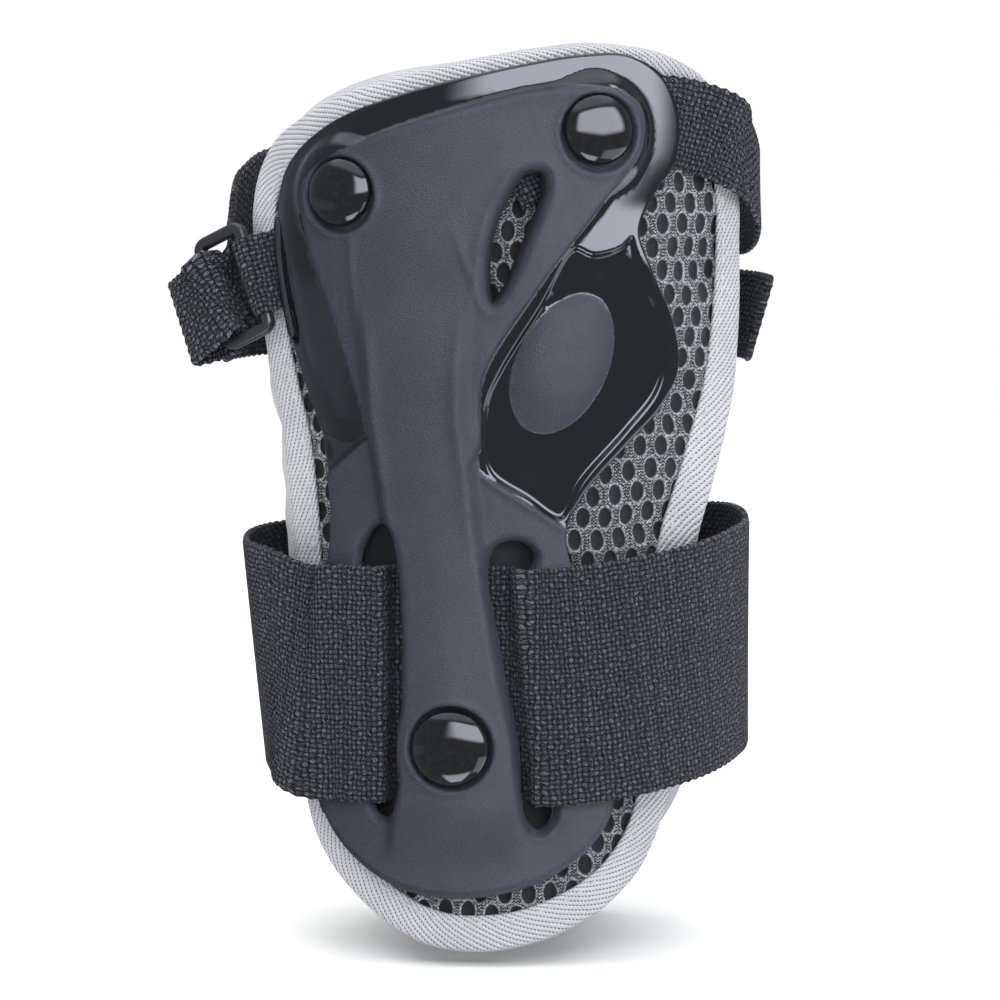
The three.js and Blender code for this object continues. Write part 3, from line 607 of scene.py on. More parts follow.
class Look(Nodes):
    """A material's node tree, with short ways to write patterns."""

    def __init__(self, name, **sockets):
        self.material = bpy.data.materials.new(name)
        self.material.use_nodes = True
        super().__init__(self.material.node_tree)
        self.shader = self.tree.nodes["Principled BSDF"]
        for key, value in sockets.items():
            self.shader.inputs[key.replace("_", " ")].default_value = value

    def weave_place(self):
        """The place on the cloth, in mm."""
        split = self.add("SeparateXYZ", Vector=self.add("UVMap", {"uv_map": "weave"}).outputs[0])
        return split.outputs[0], split.outputs[1]

    def noise(self, size_mm, detail=2.0):
        place = self.add("TexCoord").outputs["Object"]
        node = self.add("TexNoise", Vector=place, Scale=1000 / size_mm, Detail=detail)
        return node.outputs["Fac"]

    def mark(self, key):
        """A per-point number that the mesh carries."""
        return self.add("Attribute", {"attribute_name": key}).outputs["Fac"]

    def wave(self, value, period, phase=0.0):
        """A sine of a length in mm, from 0 to 1."""
        turned = self.math("MULTIPLY_ADD", value, 2 * math.pi / period, phase)
        return self.math("MULTIPLY_ADD", self.math("SINE", turned), 0.5, 0.5)

    def colour(self, value):
        self.put(self.shader.inputs["Base Color"], value)

    def rough(self, value):
        self.put(self.shader.inputs["Roughness"], value)

    def bump(self, *layers):
        """Bump layers (height 0 to 1, depth in mm), coarse first."""
        normal = None
        for height, depth in layers:
            node = self.add("Bump", Height=height, Distance=depth * MM, Strength=1.0)
            if normal is not None:
                self.put(node.inputs["Normal"], normal)
            normal = node.outputs[0]
        self.put(self.shader.inputs["Normal"], normal)


def grey(value, blue=1.0):
    """A grey that leans towards slate as its blue goes up."""
    return (value, value * (0.8 + 0.2 * blue), value * blue, 1.0)


def moulded_look():
    """The plate: fine spark-eroded grain on the matte parts, polished in the dishes."""
    look = Look("plate_moulding", Specular_IOR_Level=0.5)
    matte = look.mark("matte")
    grain = look.noise(0.30, 3.0)
    cloud = look.noise(9.0, 3.0)
    grained = look.mix(look.ramp(grain, 0.35, 0.65), grey(0.0056, 1.70), grey(0.0185, 1.60))
    grained = look.mix(look.ramp(cloud, 0.3, 0.7, 0.0, 0.6), grained, grey(0.0112, 1.60))
    look.colour(look.mix(matte, grey(0.0030, 1.4), grained))
    rubbed = look.ramp(cloud, 0.35, 0.75, 0.60, 0.70)
    gloss = look.ramp(look.noise(14.0, 2.0), 0.3, 0.7, 0.03, 0.06)
    look.rough(look.between(matte, gloss, rubbed))
    height = look.times(look.ramp(grain, 0.3, 0.7), matte)
    waviness = look.noise(16.0, 1.0)
    look.bump((waviness, 0.06), (height, 0.075))
    return look.material


def cap_look():
    """The rivets' polished caps, with faint rub marks."""
    look = Look("rivet_cap_gloss", Specular_IOR_Level=0.4)
    scuff = look.noise(1.1, 4.0)
    look.colour(look.mix(look.ramp(scuff, 0.4, 0.8), grey(0.004), grey(0.009, 1.1)))
    look.rough(look.ramp(scuff, 0.45, 0.85, 0.035, 0.10))
    look.bump((look.noise(4.0, 1.0), 0.01))
    return look.material


def steel_look():
    """The backing washers: brushed steel."""
    look = Look("washer_steel", Metallic=1.0)
    brushed = look.noise(0.5, 5.0)
    look.colour(look.mix(brushed, grey(0.42), grey(0.62)))
    look.rough(look.ramp(brushed, 0.3, 0.7, 0.28, 0.46))
    look.bump((brushed, 0.01))
    return look.material


def ring_look():
    """The ring: moulded nylon, lightly grained."""
    look = Look("ring_plastic", Specular_IOR_Level=0.5)
    grain = look.noise(0.5, 3.0)
    look.colour(look.mix(grain, grey(0.010, 1.1), grey(0.020, 1.1)))
    look.rough(look.ramp(look.noise(3.0, 2.0), 0.3, 0.7, 0.26, 0.42))
    look.bump((grain, 0.02))
    return look.material


def webbing_look(name, dark, light):
    """Plain-woven strap: crossings raised by turns, each of two twisted plies, on dark gaps. The
    crossings' tops and plies are painted lighter as painted highlights, and the gaps and sunk
    crossings darker as painted shade.
    """
    look = Look(name, Specular_IOR_Level=0.15, Sheen_Weight=0.08, Sheen_Roughness=0.5)
    u, v = look.weave_place()
    u = look.math("MULTIPLY_ADD", look.noise(2.3, 3.0), 1.5, u)
    v = look.math("MULTIPLY_ADD", look.noise(2.8, 3.0), 1.5, v)
    su = look.math("COSINE", look.times(u, math.pi / YARN))
    sv = look.math("COSINE", look.times(v, math.pi / YARN))
    product = look.times(su, sv)
    # crown paints the crossings' tops lighter as painted highlight and the gaps between them darker
    # as painted shade; over paints the sunk crossings darker as painted shade.
    crown = look.math("POWER", look.math("ABSOLUTE", product), 0.42)
    over = look.ramp(product, -0.15, 0.15, 0.42, 1.0)
    slope = look.ramp(product, -0.1, 0.1, -1.3, 0.8)
    # The plies' slanting light streaks are painted highlights.
    plies = look.wave(look.math("ADD", u, look.times(v, slope)), YARN * 0.6)
    fibre = look.noise(0.5, 4.0)
    pulled = look.add("TexNoise", {"noise_dimensions": "1D"}, Scale=0.55, Detail=2.0)
    look.put(pulled.inputs["W"], u)
    # Painted light (crown, over, plies) times the yarn's own uneven tone (fibre, pulled).
    painted_light_and_tone = look.times(
        look.ramp(crown, 0.35, 1.0),
        over,
        look.ramp(plies, 0.1, 0.9, 0.4, 1.2),
        look.ramp(fibre, 0.3, 0.7, 0.4, 1.6),
        look.ramp(pulled.outputs[0], 0.35, 0.65, 0.7, 1.2),
    )
    look.colour(look.mix(painted_light_and_tone, dark, light))
    look.rough(look.ramp(fibre, 0.3, 0.7, 0.62, 0.85))
    look.bump((look.times(crown, over), 0.6), (plies, 0.2), (fibre, 0.12))
    return look.material


TWILL_LEAN = math.radians(28)
TWILL_RIB = 1.02
TWILL_REPEAT = TWILL_RIB / math.sin(TWILL_LEAN)


def twill_look():
    """Binding tape: slanting twill ribs picked out by rows of small grey floats."""
    look = Look("binding_twill", Specular_IOR_Level=0.15, Sheen_Weight=0.1, Sheen_Roughness=0.5)
    u, v = look.weave_place()
    v = look.math("MULTIPLY_ADD", look.noise(11.0, 2.0), 1.0, v)
    v = look.math("MULTIPLY_ADD", look.noise(1.1, 2.0), 0.22, v)
    lean = TWILL_LEAN
    w = look.math("MULTIPLY_ADD", u, math.sin(lean), look.times(v, math.cos(lean)))
    rib = look.wave(w, TWILL_RIB)
    floats = look.wave(u, TWILL_REPEAT / 3)
    groove = look.ramp(rib, 0.40, 0.04)
    picked = look.times(groove, look.ramp(floats, 0.2, 0.7, 0.12, 1.0))
    soil = look.noise(20.0, 3.0)
    fibre = look.noise(0.4, 3.0)
    cloth = look.mix(look.ramp(soil, 0.3, 0.75), grey(0.48, 1.07), grey(0.39, 1.08))
    cloth = look.mix(look.ramp(fibre, 0.45, 0.8, 0.0, 0.4), cloth, grey(0.62, 1.05))
    look.colour(look.mix(picked, cloth, grey(0.09, 1.4)))
    look.rough(look.ramp(rib, 0, 1, 0.85, 0.7))
    look.bump((look.noise(7.0, 2.0), 0.25), (rib, 0.22), (floats, 0.05), (fibre, 0.06))
    return look.material


def net_look():
    """Warp-knitted net: pale grey loops on black, a pale thread round each hole, black within. The
    'open' mark paints the pale yarn out under the plate, as painted shade on the net seen down in
    the slots.
    """
    look = Look("net_knit", Specular_IOR_Level=0.25, Sheen_Weight=0.15, Sheen_Roughness=0.6)
    u, v = look.weave_place()
    bar = look.mark("net")
    u = look.math("MULTIPLY_ADD", look.noise(1.7, 2.0), 0.8, u)
    v = look.math("MULTIPLY_ADD", look.noise(2.1, 2.0), 0.8, v)
    wale = look.math("PINGPONG", look.times(u, 1 / 0.42), 1.0)
    loop = look.wave(look.math("MULTIPLY_ADD", wale, 0.42, v), 0.66)
    column = look.ramp(wale, 0.0, 0.5, 0.35, 1.0)
    fibre = look.noise(0.45, 3.0)
    top = look.ramp(bar, 0.5, 0.8)
    frayed = look.ramp(fibre, 0.38, 0.6, 0.05, 1.2)
    knit = look.times(look.ramp(loop, 0.48, 0.80), column, frayed, top)
    worn = look.ramp(fibre, 0.36, 0.6, 0.08, 0.75)
    rim = look.times(look.ramp(bar, 0.45, 0.65), look.ramp(bar, 0.98, 0.84), worn)
    # The 'open' mark takes the pale yarn away under the plate: painted shade in the slots.
    yarn = look.times(look.math("MAXIMUM", knit, rim), look.mark("open"))
    net = look.mix(top, grey(0.0035, 1.2), grey(0.009, 1.2))
    look.colour(look.mix(yarn, net, grey(0.50, 1.1)))
    look.rough(look.ramp(fibre, 0.3, 0.7, 0.7, 0.9))
    look.bump((yarn, 0.22), (fibre, 0.05))
    return look.material


def cover_look():
    """The back panel's face: fine plain-woven nylon over foam."""
    look = Look("cover_nylon", Specular_IOR_Level=0.35, Sheen_Weight=0.3, Sheen_Roughness=0.4)
    u, v = look.weave_place()
    product = look.times(look.wave(u, 1.1), look.wave(v, 1.1, 1.57))
    other = look.times(look.wave(u, 1.1, math.pi), look.wave(v, 1.1, 1.57 + math.pi))
    crown = look.math("ADD", product, other)
    cloud = look.noise(13.0, 3.0)
    cloth = look.mix(look.ramp(cloud, 0.3, 0.7), grey(0.014, 1.1), grey(0.021, 1.1))
    look.colour(look.mix(crown, grey(0.006, 1.1), cloth))
    look.rough(look.ramp(look.noise(0.5, 3.0), 0.3, 0.7, 0.6, 0.8))
    look.bump((look.noise(9.0, 2.0), 0.3), (crown, 0.16))
    return look.material


def knit_look(name, dark, light, wale_mm=0.9, course_mm=0.8, depth=0.12):
    """A fine jersey or brushed lining."""
    look = Look(name, Specular_IOR_Level=0.25, Sheen_Weight=0.35, Sheen_Roughness=0.5)
    x, z = look.weave_place()
    wale = look.math("PINGPONG", look.times(x, 2 / wale_mm), 1.0)
    loop = look.wave(look.math("MULTIPLY_ADD", wale, course_mm * 0.5, z), course_mm)
    knit = look.times(loop, look.ramp(wale, 0.0, 0.5, 0.4, 1.0))
    cloud = look.noise(12.0, 4.0)
    shade = look.times(knit, look.ramp(cloud, 0.25, 0.75, 0.7, 1.05))
    look.colour(look.mix(shade, dark, light))
    look.rough(look.ramp(look.noise(0.6, 3.0), 0.3, 0.7, 0.75, 0.95))
    look.bump((look.noise(6.0, 3.0), 0.25), (knit, depth))
    return look.material


def patch_look(name, hooks):
    """Fastener tape: rows of stiff hooks, or a brushed pile of loops."""
    look = Look(name, Specular_IOR_Level=0.3, Sheen_Weight=0.1 if hooks else 0.6)
    u, v = look.weave_place()
    if hooks:
        rows = look.times(look.wave(u, 1.5), look.wave(v, 1.1))
        rough = 0.45
    else:
        rows = look.noise(0.9, 5.0)
        rough = 0.9
    fibre = look.noise(0.4, 3.0)
    look.colour(look.mix(rows, grey(0.004), grey(0.028 if hooks else 0.04, 1.05)))
    look.rough(look.ramp(fibre, 0.3, 0.7, rough, rough + 0.1))
    look.bump((rows, 0.5 if hooks else 0.3), (fibre, 0.1))
    return look.material


def thread_look(name, dark, light):
    """Twisted sewing thread."""
    look = Look(name, Specular_IOR_Level=0.4, Sheen_Weight=0.2)
    ply = look.noise(0.3, 3.0)
    look.colour(look.mix(ply, dark, light))
    look.rough(look.ramp(ply, 0.3, 0.7, 0.5, 0.7))
    look.bump((ply, 0.08))
    return look.material


def stay_look():
    """The stay: plain stiff sheet plastic."""
    look = Look("stay_plastic", Specular_IOR_Level=0.4)
    grain = look.noise(0.6, 3.0)
    look.colour(look.mix(grain, grey(0.03), grey(0.05)))
    look.rough(look.ramp(grain, 0.3, 0.7, 0.4, 0.55))
    look.bump((grain, 0.03))
    return look.material


PLATE = moulded_look()
CAP = cap_look()
STEEL = steel_look()
RING = ring_look()
# The dark grey is the weave's painted shade, and the light grey is the crossings' painted
# highlight.
WEB = webbing_look("strap_webbing", grey(0.0016, 1.5), grey(0.115, 1.32))
TWILL = twill_look()
NET = net_look()
COVER = cover_look()
LINING = knit_look("brushed_lining", grey(0.008, 1.1), grey(0.026, 1.1))
GUSSET = knit_look("gusset_jersey", grey(0.34, 1.03), grey(0.60, 1.03), 0.8, 0.7, 0.1)
HOOKS = patch_look("hook_tape", True)
LOOPS = patch_look("loop_tape", False)
PALE_THREAD = thread_look("pale_thread", grey(0.30, 1.05), grey(0.62, 1.03))
DARK_THREAD = thread_look("dark_thread", grey(0.03, 1.2), grey(0.14, 1.2))
STAY_PLASTIC = stay_look()


# ------------------------------------------------------------------ padded panels
PALM_EDGE = outline(PALM_RIM)
DORSAL_EDGE = outline(DORSAL_RIM)
PLATE_EDGE = outline(PLATE_RIM, PLATE_GLOSS, 0.8)
# The flat pad's face, back and step in from the panel's edge, and how far it may blow up.
PAD_HIGH = -1.9
PAD_LOW = -7.4
PAD_EDGE = 1.6
PUFF = 1.5
PUFF_STEPS = 18
SPLINT_POCKET = [
    (-15, 86), (0, 88), (15, 86), (17, 62), (17, -22), (15, -43), (0, -46), (-15, -43),
    (-17, -22), (-17, 62),
]
POCKET_EDGE = outline(SPLINT_POCKET)


def blow_up(pad, pins):
    """Blow the pad up by a cloth run, held where it is pinned, and no further than PUFF."""
    rest = np.array([v.co[:] for v in pad.data.vertices])
    group = pad.vertex_groups.new(name="sewn")
    for i in np.flatnonzero(pins):
        group.add([int(i)], float(pins[i]), "REPLACE")
    cloth = pad.modifiers.new("puff", "CLOTH")
    settings = cloth.settings
    settings.quality = 5
    settings.use_pressure = True
    settings.uniform_pressure_force = 4.0
    settings.vertex_group_mass = "sewn"
    settings.tension_stiffness = 12
    settings.compression_stiffness = 12
    settings.bending_stiffness = 0.8
    settings.shrink_min = -0.03
    settings.effector_weights.gravity = 0.0
    cloth.collision_settings.use_collision = False
    for step in range(1, PUFF_STEPS + 1):
        bpy.context.scene.frame_set(step)
    shape = pad.evaluated_get(bpy.context.evaluated_depsgraph_get()).to_mesh()
    moved = np.array([v.co[:] for v in shape.vertices]) - rest
    pad.modifiers.clear()
    pad.vertex_groups.clear()
    bpy.context.scene.frame_set(1)
    far = np.linalg.norm(moved, axis=1)[:, None] + 1e-12
    moved *= np.tanh(far / (PUFF * MM)) * PUFF * MM / far
    pad.data.vertices.foreach_set("co", (rest + moved).ravel())
    pad.data.update()


def puffed_pad(name, side, rim, held):
    """A foam pad that swells out; held(flat) says which points of its face are sewn down."""
    core = beside(rim, PAD_EDGE, 3.4)
    inner = hexes(core, 3.4)
    inner = inner[signed(inner, core) > 2.2]
    flat, faces, loops = triangulate(core, inner)
    count = len(flat)
    high = side(flat[:, 0], flat[:, 1], PAD_HIGH)
    low = side(flat[:, 0], flat[:, 1], PAD_LOW)
    polygons = both_faces(faces, count)
    loop = loops[0]
    middle = side(flat[loop][:, 0], flat[loop][:, 1], (PAD_HIGH + PAD_LOW) / 2)
    points = np.concatenate([high, low, middle])
    ring = list(range(2 * count, 2 * count + len(loop)))
    polygons += strips([list(loop), ring, [i + count for i in loop]])
    place = np.concatenate([flat, flat, flat[loop]])
    pad = piece(name, points, polygons, LINING, place)
    pins = np.zeros(len(points))
    pins[:count] = held(flat)
    pins[[*loop, *(i + count for i in loop), *ring]] = 1
    blow_up(pad, pins)
    soften = pad.modifiers.new("soften", "SUBSURF")
    soften.levels = soften.render_levels = 1
    return pad


def surface_over(pad, side, flat):
    """How high the pad's face has come out at each place, looked for from well above it."""
    tree = BVHTree.FromObject(pad, bpy.context.evaluated_depsgraph_get())
    above, reach = 8.0, 30.0
    start = side(flat[:, 0], flat[:, 1], np.full(len(flat), above)) * MM
    end = side(flat[:, 0], flat[:, 1], np.zeros(len(flat))) * MM
    made = np.full(len(flat), PAD_HIGH)
    for i, (a, b) in enumerate(zip(start, end)):
        way = (Vector(b) - Vector(a)).normalized()
        hit = tree.ray_cast(Vector(a), way, reach * MM)
        if hit[0] is not None:
            made[i] = above - hit[3] / MM
    return made


def under_plate(flat):
    """The palm pad's face is pressed down under the plate."""
    return (signed(flat, PLATE_EDGE) > 1.5).astype(float)


def sewn_back(flat):
    """The back pad's face is sewn down along the pocket's edge."""
    off = np.abs(signed(flat, POCKET_EDGE))
    return (off < 2.2).astype(float)


palm_pad = puffed_pad("palm_pad", palm, PALM_EDGE, under_plate)
dorsal_pad = puffed_pad("dorsal_pad", dorsal, DORSAL_EDGE, sewn_back)
for pad, name in ((palm_pad, "palm"), (dorsal_pad, "dorsal")):
    show(pad, "guard", "lining", f"{name}_foam", f"{name}_lining")


def net_fabric():
    """The knitted net over the palm pad, its open holes sunk into it."""
    edge = inset(PALM_EDGE, 1.4)
    holes = staggered(edge.min(0) - 2, edge.max(0) + 2, NET_PITCH, NET_ROW)
    drift = [[noise.noise(Vector((s / 14, z / 14, k))) for k in (1, 5)] for s, z in holes]
    holes = holes + np.array(drift) * 1.1
    near = signed(holes, PLATE_EDGE)
    vent_edge = outline(VENT, PLATE_MATTE)
    seen = (near < 5) | (signed(holes, vent_edge) > -4)
    holes = holes[seen & (signed(holes, edge) > 0)]
    turn = np.arange(16) / 16 * 2 * np.pi
    groups = []
    for scale in (1.0, 0.72, 1.25):
        ring = np.stack([np.cos(turn) * NET_OPEN[0], np.sin(turn) * NET_OPEN[1]], -1) * scale
        groups.append((holes[:, None] + ring[None]).reshape(-1, 2))
    groups.append(holes)
    groups.append(hexes(edge, 1.6))
    points = thin(groups, 0.24)
    points = points[signed(points, edge) > 0.4]
    region = triangulate(edge, points)
    flat = region[0]
    # 1 on the net, 0 down in a hole.
    yarn = np.ones(len(flat))
    for cx, cz in holes:
        close = np.flatnonzero((abs(flat[:, 0] - cx) < 3) & (abs(flat[:, 1] - cz) < 3))
        away = np.hypot((flat[close, 0] - cx) / NET_OPEN[0], (flat[close, 1] - cz) / NET_OPEN[1])
        yarn[close] = np.minimum(yarn[close], smooth((away - 0.80) / 0.30))
    # 0 where the plate covers the net: its pale yarn is painted out there, as painted shade on the
    #                                   net seen down in the slots.
    covered = smooth((signed(flat, PLATE_EDGE) - 1.5) / 1.0)
    unshaded_net = 1 - covered * smooth((-signed(flat, vent_edge) - 1.5) / 1.0)
    face = np.minimum(surface_over(palm_pad, palm, flat) + 1.75, 1.0) - NET_DEEP * (1 - yarn)
    marks = {"net": yarn, "open": unshaded_net}
    return slab("palm_net", palm, region, face, face - 0.55, NET, marks)


show(net_fabric(), "guard", "mesh", "palm_mesh")


def cover_fabric():
    """The face cloth over the back's pad."""
    edge = inset(DORSAL_EDGE, 1.4)
    points = thin([hexes(edge, 2.2)], 0.5)
    points = points[signed(points, edge) > 0.8]
    region = triangulate(edge, points)
    face = np.minimum(surface_over(dorsal_pad, dorsal, region[0]) + 1.8, 1.4)
    return slab("dorsal_face", dorsal, region, face, face - 1.0, COVER)


show(cover_fabric(), "guard", "cover", "dorsal_cover")


# ------------------------------------------------------------------ bindings
# The tape's section within this distance of the panel's edge is the fold round it.
TAPE_FOLD = 1.5


def round_and_round(turn, waves, seed):
    """An uneven wander that meets itself after one turn; more waves make it busier."""
    return np.array(
        [noise.noise(Vector((waves * math.cos(t), waves * math.sin(t), seed))) for t in turn]
    )


def binding(name, side, rim, swell, seed):
    """Twill tape rolled over a panel's edge, with its row of stitches. swell widens it."""
    bead = BINDING_TOP - 0.25
    foot = PANEL_BACK - 1.25
    lap = BINDING_WIDTH
    section = [(lap, bead - 0.75), (lap, bead - 0.1)]
    section += [(lap - 0.35, bead + 0.14), (lap - 1.2, bead + 0.02), (lap - 1.7, bead)]
    section += [(lap - 2.3, bead + 0.1)]
    section += [(v, bead + 0.24 * math.sin(v / 6.5 * math.pi)) for v in (5, 4, 3.2, 2.2)]
    tapered = len(section)
    middle = (bead + foot) / 2
    tall = (bead - foot) / 2
    for a in np.radians(np.arange(90, -91, -15)):
        section.append((1.4 - 1.75 * math.cos(a) ** 0.8, middle + tall * math.sin(a)))
    section += [(v, foot) for v in (2.2, 4.5, 7)]
    section += [(lap, foot + 0.2), (lap, foot + 0.9)]
    section += [(1.6, foot + 1.1), (0.75, middle), (1.6, bead - 0.95)]
    section = np.array(section)
    wide = len(section)
    # The first row comes again at the end, so that the weave runs on across the join.
    swell = closed_up(swell)
    run = runs(closed_up(rim))
    weave = run * round(run[-1] / TWILL_REPEAT) * TWILL_REPEAT / run[-1]
    around = runs(section)
    turn = run / run[-1] * 2 * math.pi
    pull = round_and_round(turn, 9, seed)
    pucker = round_and_round(turn, 26, seed)
    # The tape sags at most this far, so that the panel's face never comes through it.
    sag = np.maximum(0.22 * pull + 0.2 * pucker, -0.1)
    points = []
    for k, (by, h) in enumerate(section):
        on_top = k < tapered or k >= wide - 1
        reach = by * swell + 0.25 * pull if by > TAPE_FOLD else by - 0.22 * pull
        moved = closed_up(inset(rim, reach[:-1]))
        points.append(side(moved[:, 0], moved[:, 1], h + sag * on_top))
    points = np.stack(points, 1).reshape(-1, 3)
    uv = np.stack(np.broadcast_arrays(weave[:, None], around[None]), -1).reshape(-1, 2)
    faces = strips(numbered(len(run), wide))
    tape = piece(f"{name}_tape", points, faces, TWILL, uv)
    show(tape, "guard", "binding", f"{name}_binding")
    seam = inset(rim, (lap - 1.5) * swell[:-1])
    looks = (PALE_THREAD, 2.4, 0.8, 0.22)
    show(seam_round(f"{name}_tape_seam", side, seam, bead - 0.02, *looks), "guard", "binding")


def thumb_heel(rim):
    """The palm's tape is folded over wider along the heel of the thumb."""
    s, z = rim.T
    return 1 + TAPE_SWELL * (s > 20) * smooth((95 - z) / 50) * smooth((z + 35) / 30)


binding("palm", palm, PALM_EDGE, thumb_heel(PALM_EDGE), 3.0)
binding("dorsal", dorsal, DORSAL_EDGE, np.ones(len(DORSAL_EDGE)), 9.0)


# ------------------------------------------------------------------ the moulded plate
MATTE_EDGE = outline(MATTE_RIM, PLATE_MATTE)
BOWL_EDGE = outline(BOWL_RIM, PLATE_GLOSS)
SLOT_LEFT_EDGE = outline(SLOT_LEFT, PLATE_GLOSS, 0.7)
SLOT_RIGHT_EDGE = outline(SLOT_RIGHT, PLATE_GLOSS, 0.7)
VENT_EDGE = outline(VENT, PLATE_MATTE, 0.6)
HAND_POCKET_EDGE = np.array([(float(unroll(x)), z) for x, z in HAND_POCKET])
# The rim is the plate's loop 0; the holes are its loops 1 to 3, so the vent is the last.
HOLES = (SLOT_LEFT_EDGE, SLOT_RIGHT_EDGE, VENT_EDGE)
VENT_LOOP = len(HOLES)
FILLET = 0.8
WELL_ROOM = 0.55
SLOT_DRAFT = 0.12
VENT_DRAFT = 0.9


def bead(distance, at, wide):
    """A rounded ridge: 1 at a distance, and fading out on both sides of it."""
    return np.exp(-(((distance - at) / wide) ** 2))


def falling(distance, reach, power):
    """1 at an edge, falling to 0 a reach away from it."""
    return (1 - np.clip(distance / reach, 0, 1)) ** power


def well_distance(flat, rivet):
    """Distance from a rivet's axis, at its seat's height."""
    s = unroll(rivet["x"], rivet["seat"])
    return np.hypot((flat[:, 0] - s) * (1 + rivet["seat"] / FORM_R), flat[:, 1] - rivet["z"])


def bump_place(flat):
    """0 at the middle of the oval bump and 1 on its edge."""
    s = (flat[:, 0] - unroll(BUMP["x"], PLATE_GLOSS)) * (1 + PLATE_GLOSS / FORM_R)
    z = flat[:, 1] - BUMP["z"]
    a = BUMP["tilt"]
    along = s * math.cos(a) + z * math.sin(a)
    over = z * math.cos(a) - s * math.sin(a)
    return np.hypot(along / BUMP["long"], over / BUMP["wide"])


def ridges(z):
    """The rib's left and right ridges at a height, unrolled."""
    table = np.array(RIB)[::-1]
    left, right = (np.interp(z, table[:, 0], table[:, k]) for k in (1, 2))
    return unroll(left, RIB_TOP), unroll(right, RIB_TOP)


def foot_depth(flat):
    """How far a place is down into the matte foot, past the gloss."""
    table = np.array(FOOT_EDGE)
    s = unroll(table[:, 0], PLATE_GLOSS)
    return (np.interp(flat[:, 0], s, table[:, 1]) - flat[:, 1]) * 0.8


def plate_top(flat):
    """The height of the plate's face, built up from its zones one over the other."""
    s, z = flat.T
    rim = signed(flat, PLATE_EDGE)
    head = signed(flat, MATTE_EDGE)
    bowl = signed(flat, BOWL_EDGE)
    foot = foot_depth(flat)
    left, right = ridges(z)
    h = np.full(len(flat), PLATE_GLOSS)
    # The glossy zones: the left flank and the band round the top fall away to the rim.
    on_left = smooth((left + 3 - s) / 6) * smooth((z - 42) / 10)
    h -= 2.1 * on_left * falling(rim, 6.5, 1.6)
    band = smooth((z - 84) / 14) * (1 - on_left)
    h -= 0.55 * band * falling(rim, 7.5, 1.4)
    h -= 0.5 * band * smooth(-head / 1.2)
    # The bowl is dished, and the flank steps down to the foot.
    h -= (1.0 * smooth(bowl / 1.1) + 1.1 * smooth(bowl / 9)) * (1 - smooth(head / 0.8))
    h -= 0.9 * smooth((left - s) / 3) * smooth(foot / -0.5) * smooth((52 - z) / 4)
    # The matte foot has a bead along its upper edge and a thin lip low down.
    lip = 1 - smooth((z + 16) / 14)
    h += 0.35 * smooth(foot / 0.5) * (1 - lip)
    h += 0.55 * bead(foot, 0.5, 0.55) * smooth((rim - 0.3) / 1.5)
    h -= 0.95 * lip * (1 - smooth((rim - 1.1) / 0.5))
    # The raised head, with a bead inside its edge.
    raised = smooth((head + 0.2) / 0.9)
    h = np.maximum(h, h * (1 - raised) + PLATE_MATTE * raised)
    h += 0.28 * bead(head, 1.5, 0.8) * smooth((z - 88) / 10)
    # The rib grows out of the head, and its ridges run on up it as creases.
    rises = smooth((RIB_RISES[0] - z) / (RIB_RISES[0] - RIB_RISES[1]))
    ends = smooth((z - RIB_ENDS[1]) / (RIB_ENDS[0] - RIB_ENDS[1]))
    inner = np.minimum(s - left, right - s)
    shoulder = smooth((inner + 1.3) / 3.2)
    crown = RIB_TOP - 0.35 + 0.55 * bead(inner, 1.9, 1.2) * smooth((z - 15) / 40)
    crown += 0.5 * smooth(inner / 12) * (1 - smooth((z - 10) / 40))
    h = h + (crown - h) * shoulder * rises * ends
    crease = smooth((96 - z) / 10) * (1 - rises)
    h += 0.35 * crease * bead(inner, 0, 0.9) * (head > 0)
    # The oval bump in the bowl, and the moulding gate's round dimple above it.
    q = bump_place(flat)
    h = np.where(q < 1, np.maximum(h, h + BUMP["high"] * (1 - np.clip(q, 0, 1) ** 2.3)), h)
    gate = np.hypot(s - unroll(GATE["x"], PLATE_GLOSS), z - GATE["z"])
    h -= 0.22 * smooth((GATE["radius"] - gate) / 0.35) * (q > 1)
    # The holes' edges are rounded over, and two have a bead beside them.
    for edge, soft, sink in (
        (SLOT_LEFT_EDGE, 2.0, 1.6),
        (SLOT_RIGHT_EDGE, 2.0, 1.6),
        (VENT_EDGE, 1.5, 1.1),
    ):
        off = np.clip(-signed(flat, edge), 0, None)
        h -= sink * falling(off, soft, 2.2)
        if edge is VENT_EDGE:
            h += 0.4 * bead(off, soft + 0.3, 0.7)
    lower_lip = bead(-signed(flat, SLOT_RIGHT_EDGE), 1.7, 0.55)
    h += 0.6 * lower_lip * smooth((-26 - z) / 4) * (s > unroll(4.5, PLATE_GLOSS))
    # Each rivet's cap sits in a well with a bead round it.
    for rivet in RIVETS:
        radius = rivet["cap"] / 2 + WELL_ROOM
        away = well_distance(flat, rivet)
        near = smooth((radius + 5.5 - away) / 3.5)
        h = h * (1 - near) + np.maximum(h, rivet["seat"] - 0.1) * near
        h += 0.42 * bead(away, radius + 0.95, 0.62)
        wall = smooth((away - radius + 0.3) / 0.55)
        h = rivet["floor"] * (1 - wall) + h * wall
    return h


def plate_bottom(flat):
    """The height of the plate's back, with its pockets over the straps and the ring's tab."""
    s, z = flat.T
    h = np.full(len(flat), PLATE_UNDER)
    strap = smooth((27 - z) / 2) * smooth((z + 33) / 2)
    h += (RELIEF_TOP - PLATE_UNDER) * strap
    left = unroll(-40, 2)
    tab = smooth((left - s) / 1.5) * smooth((95 - z) / 2) * smooth((z - 68) / 2)
    hand = smooth(signed(flat, HAND_POCKET_EDGE) / 1.5)
    return h + (POCKET_TOP - PLATE_UNDER) * np.maximum(tab, hand)


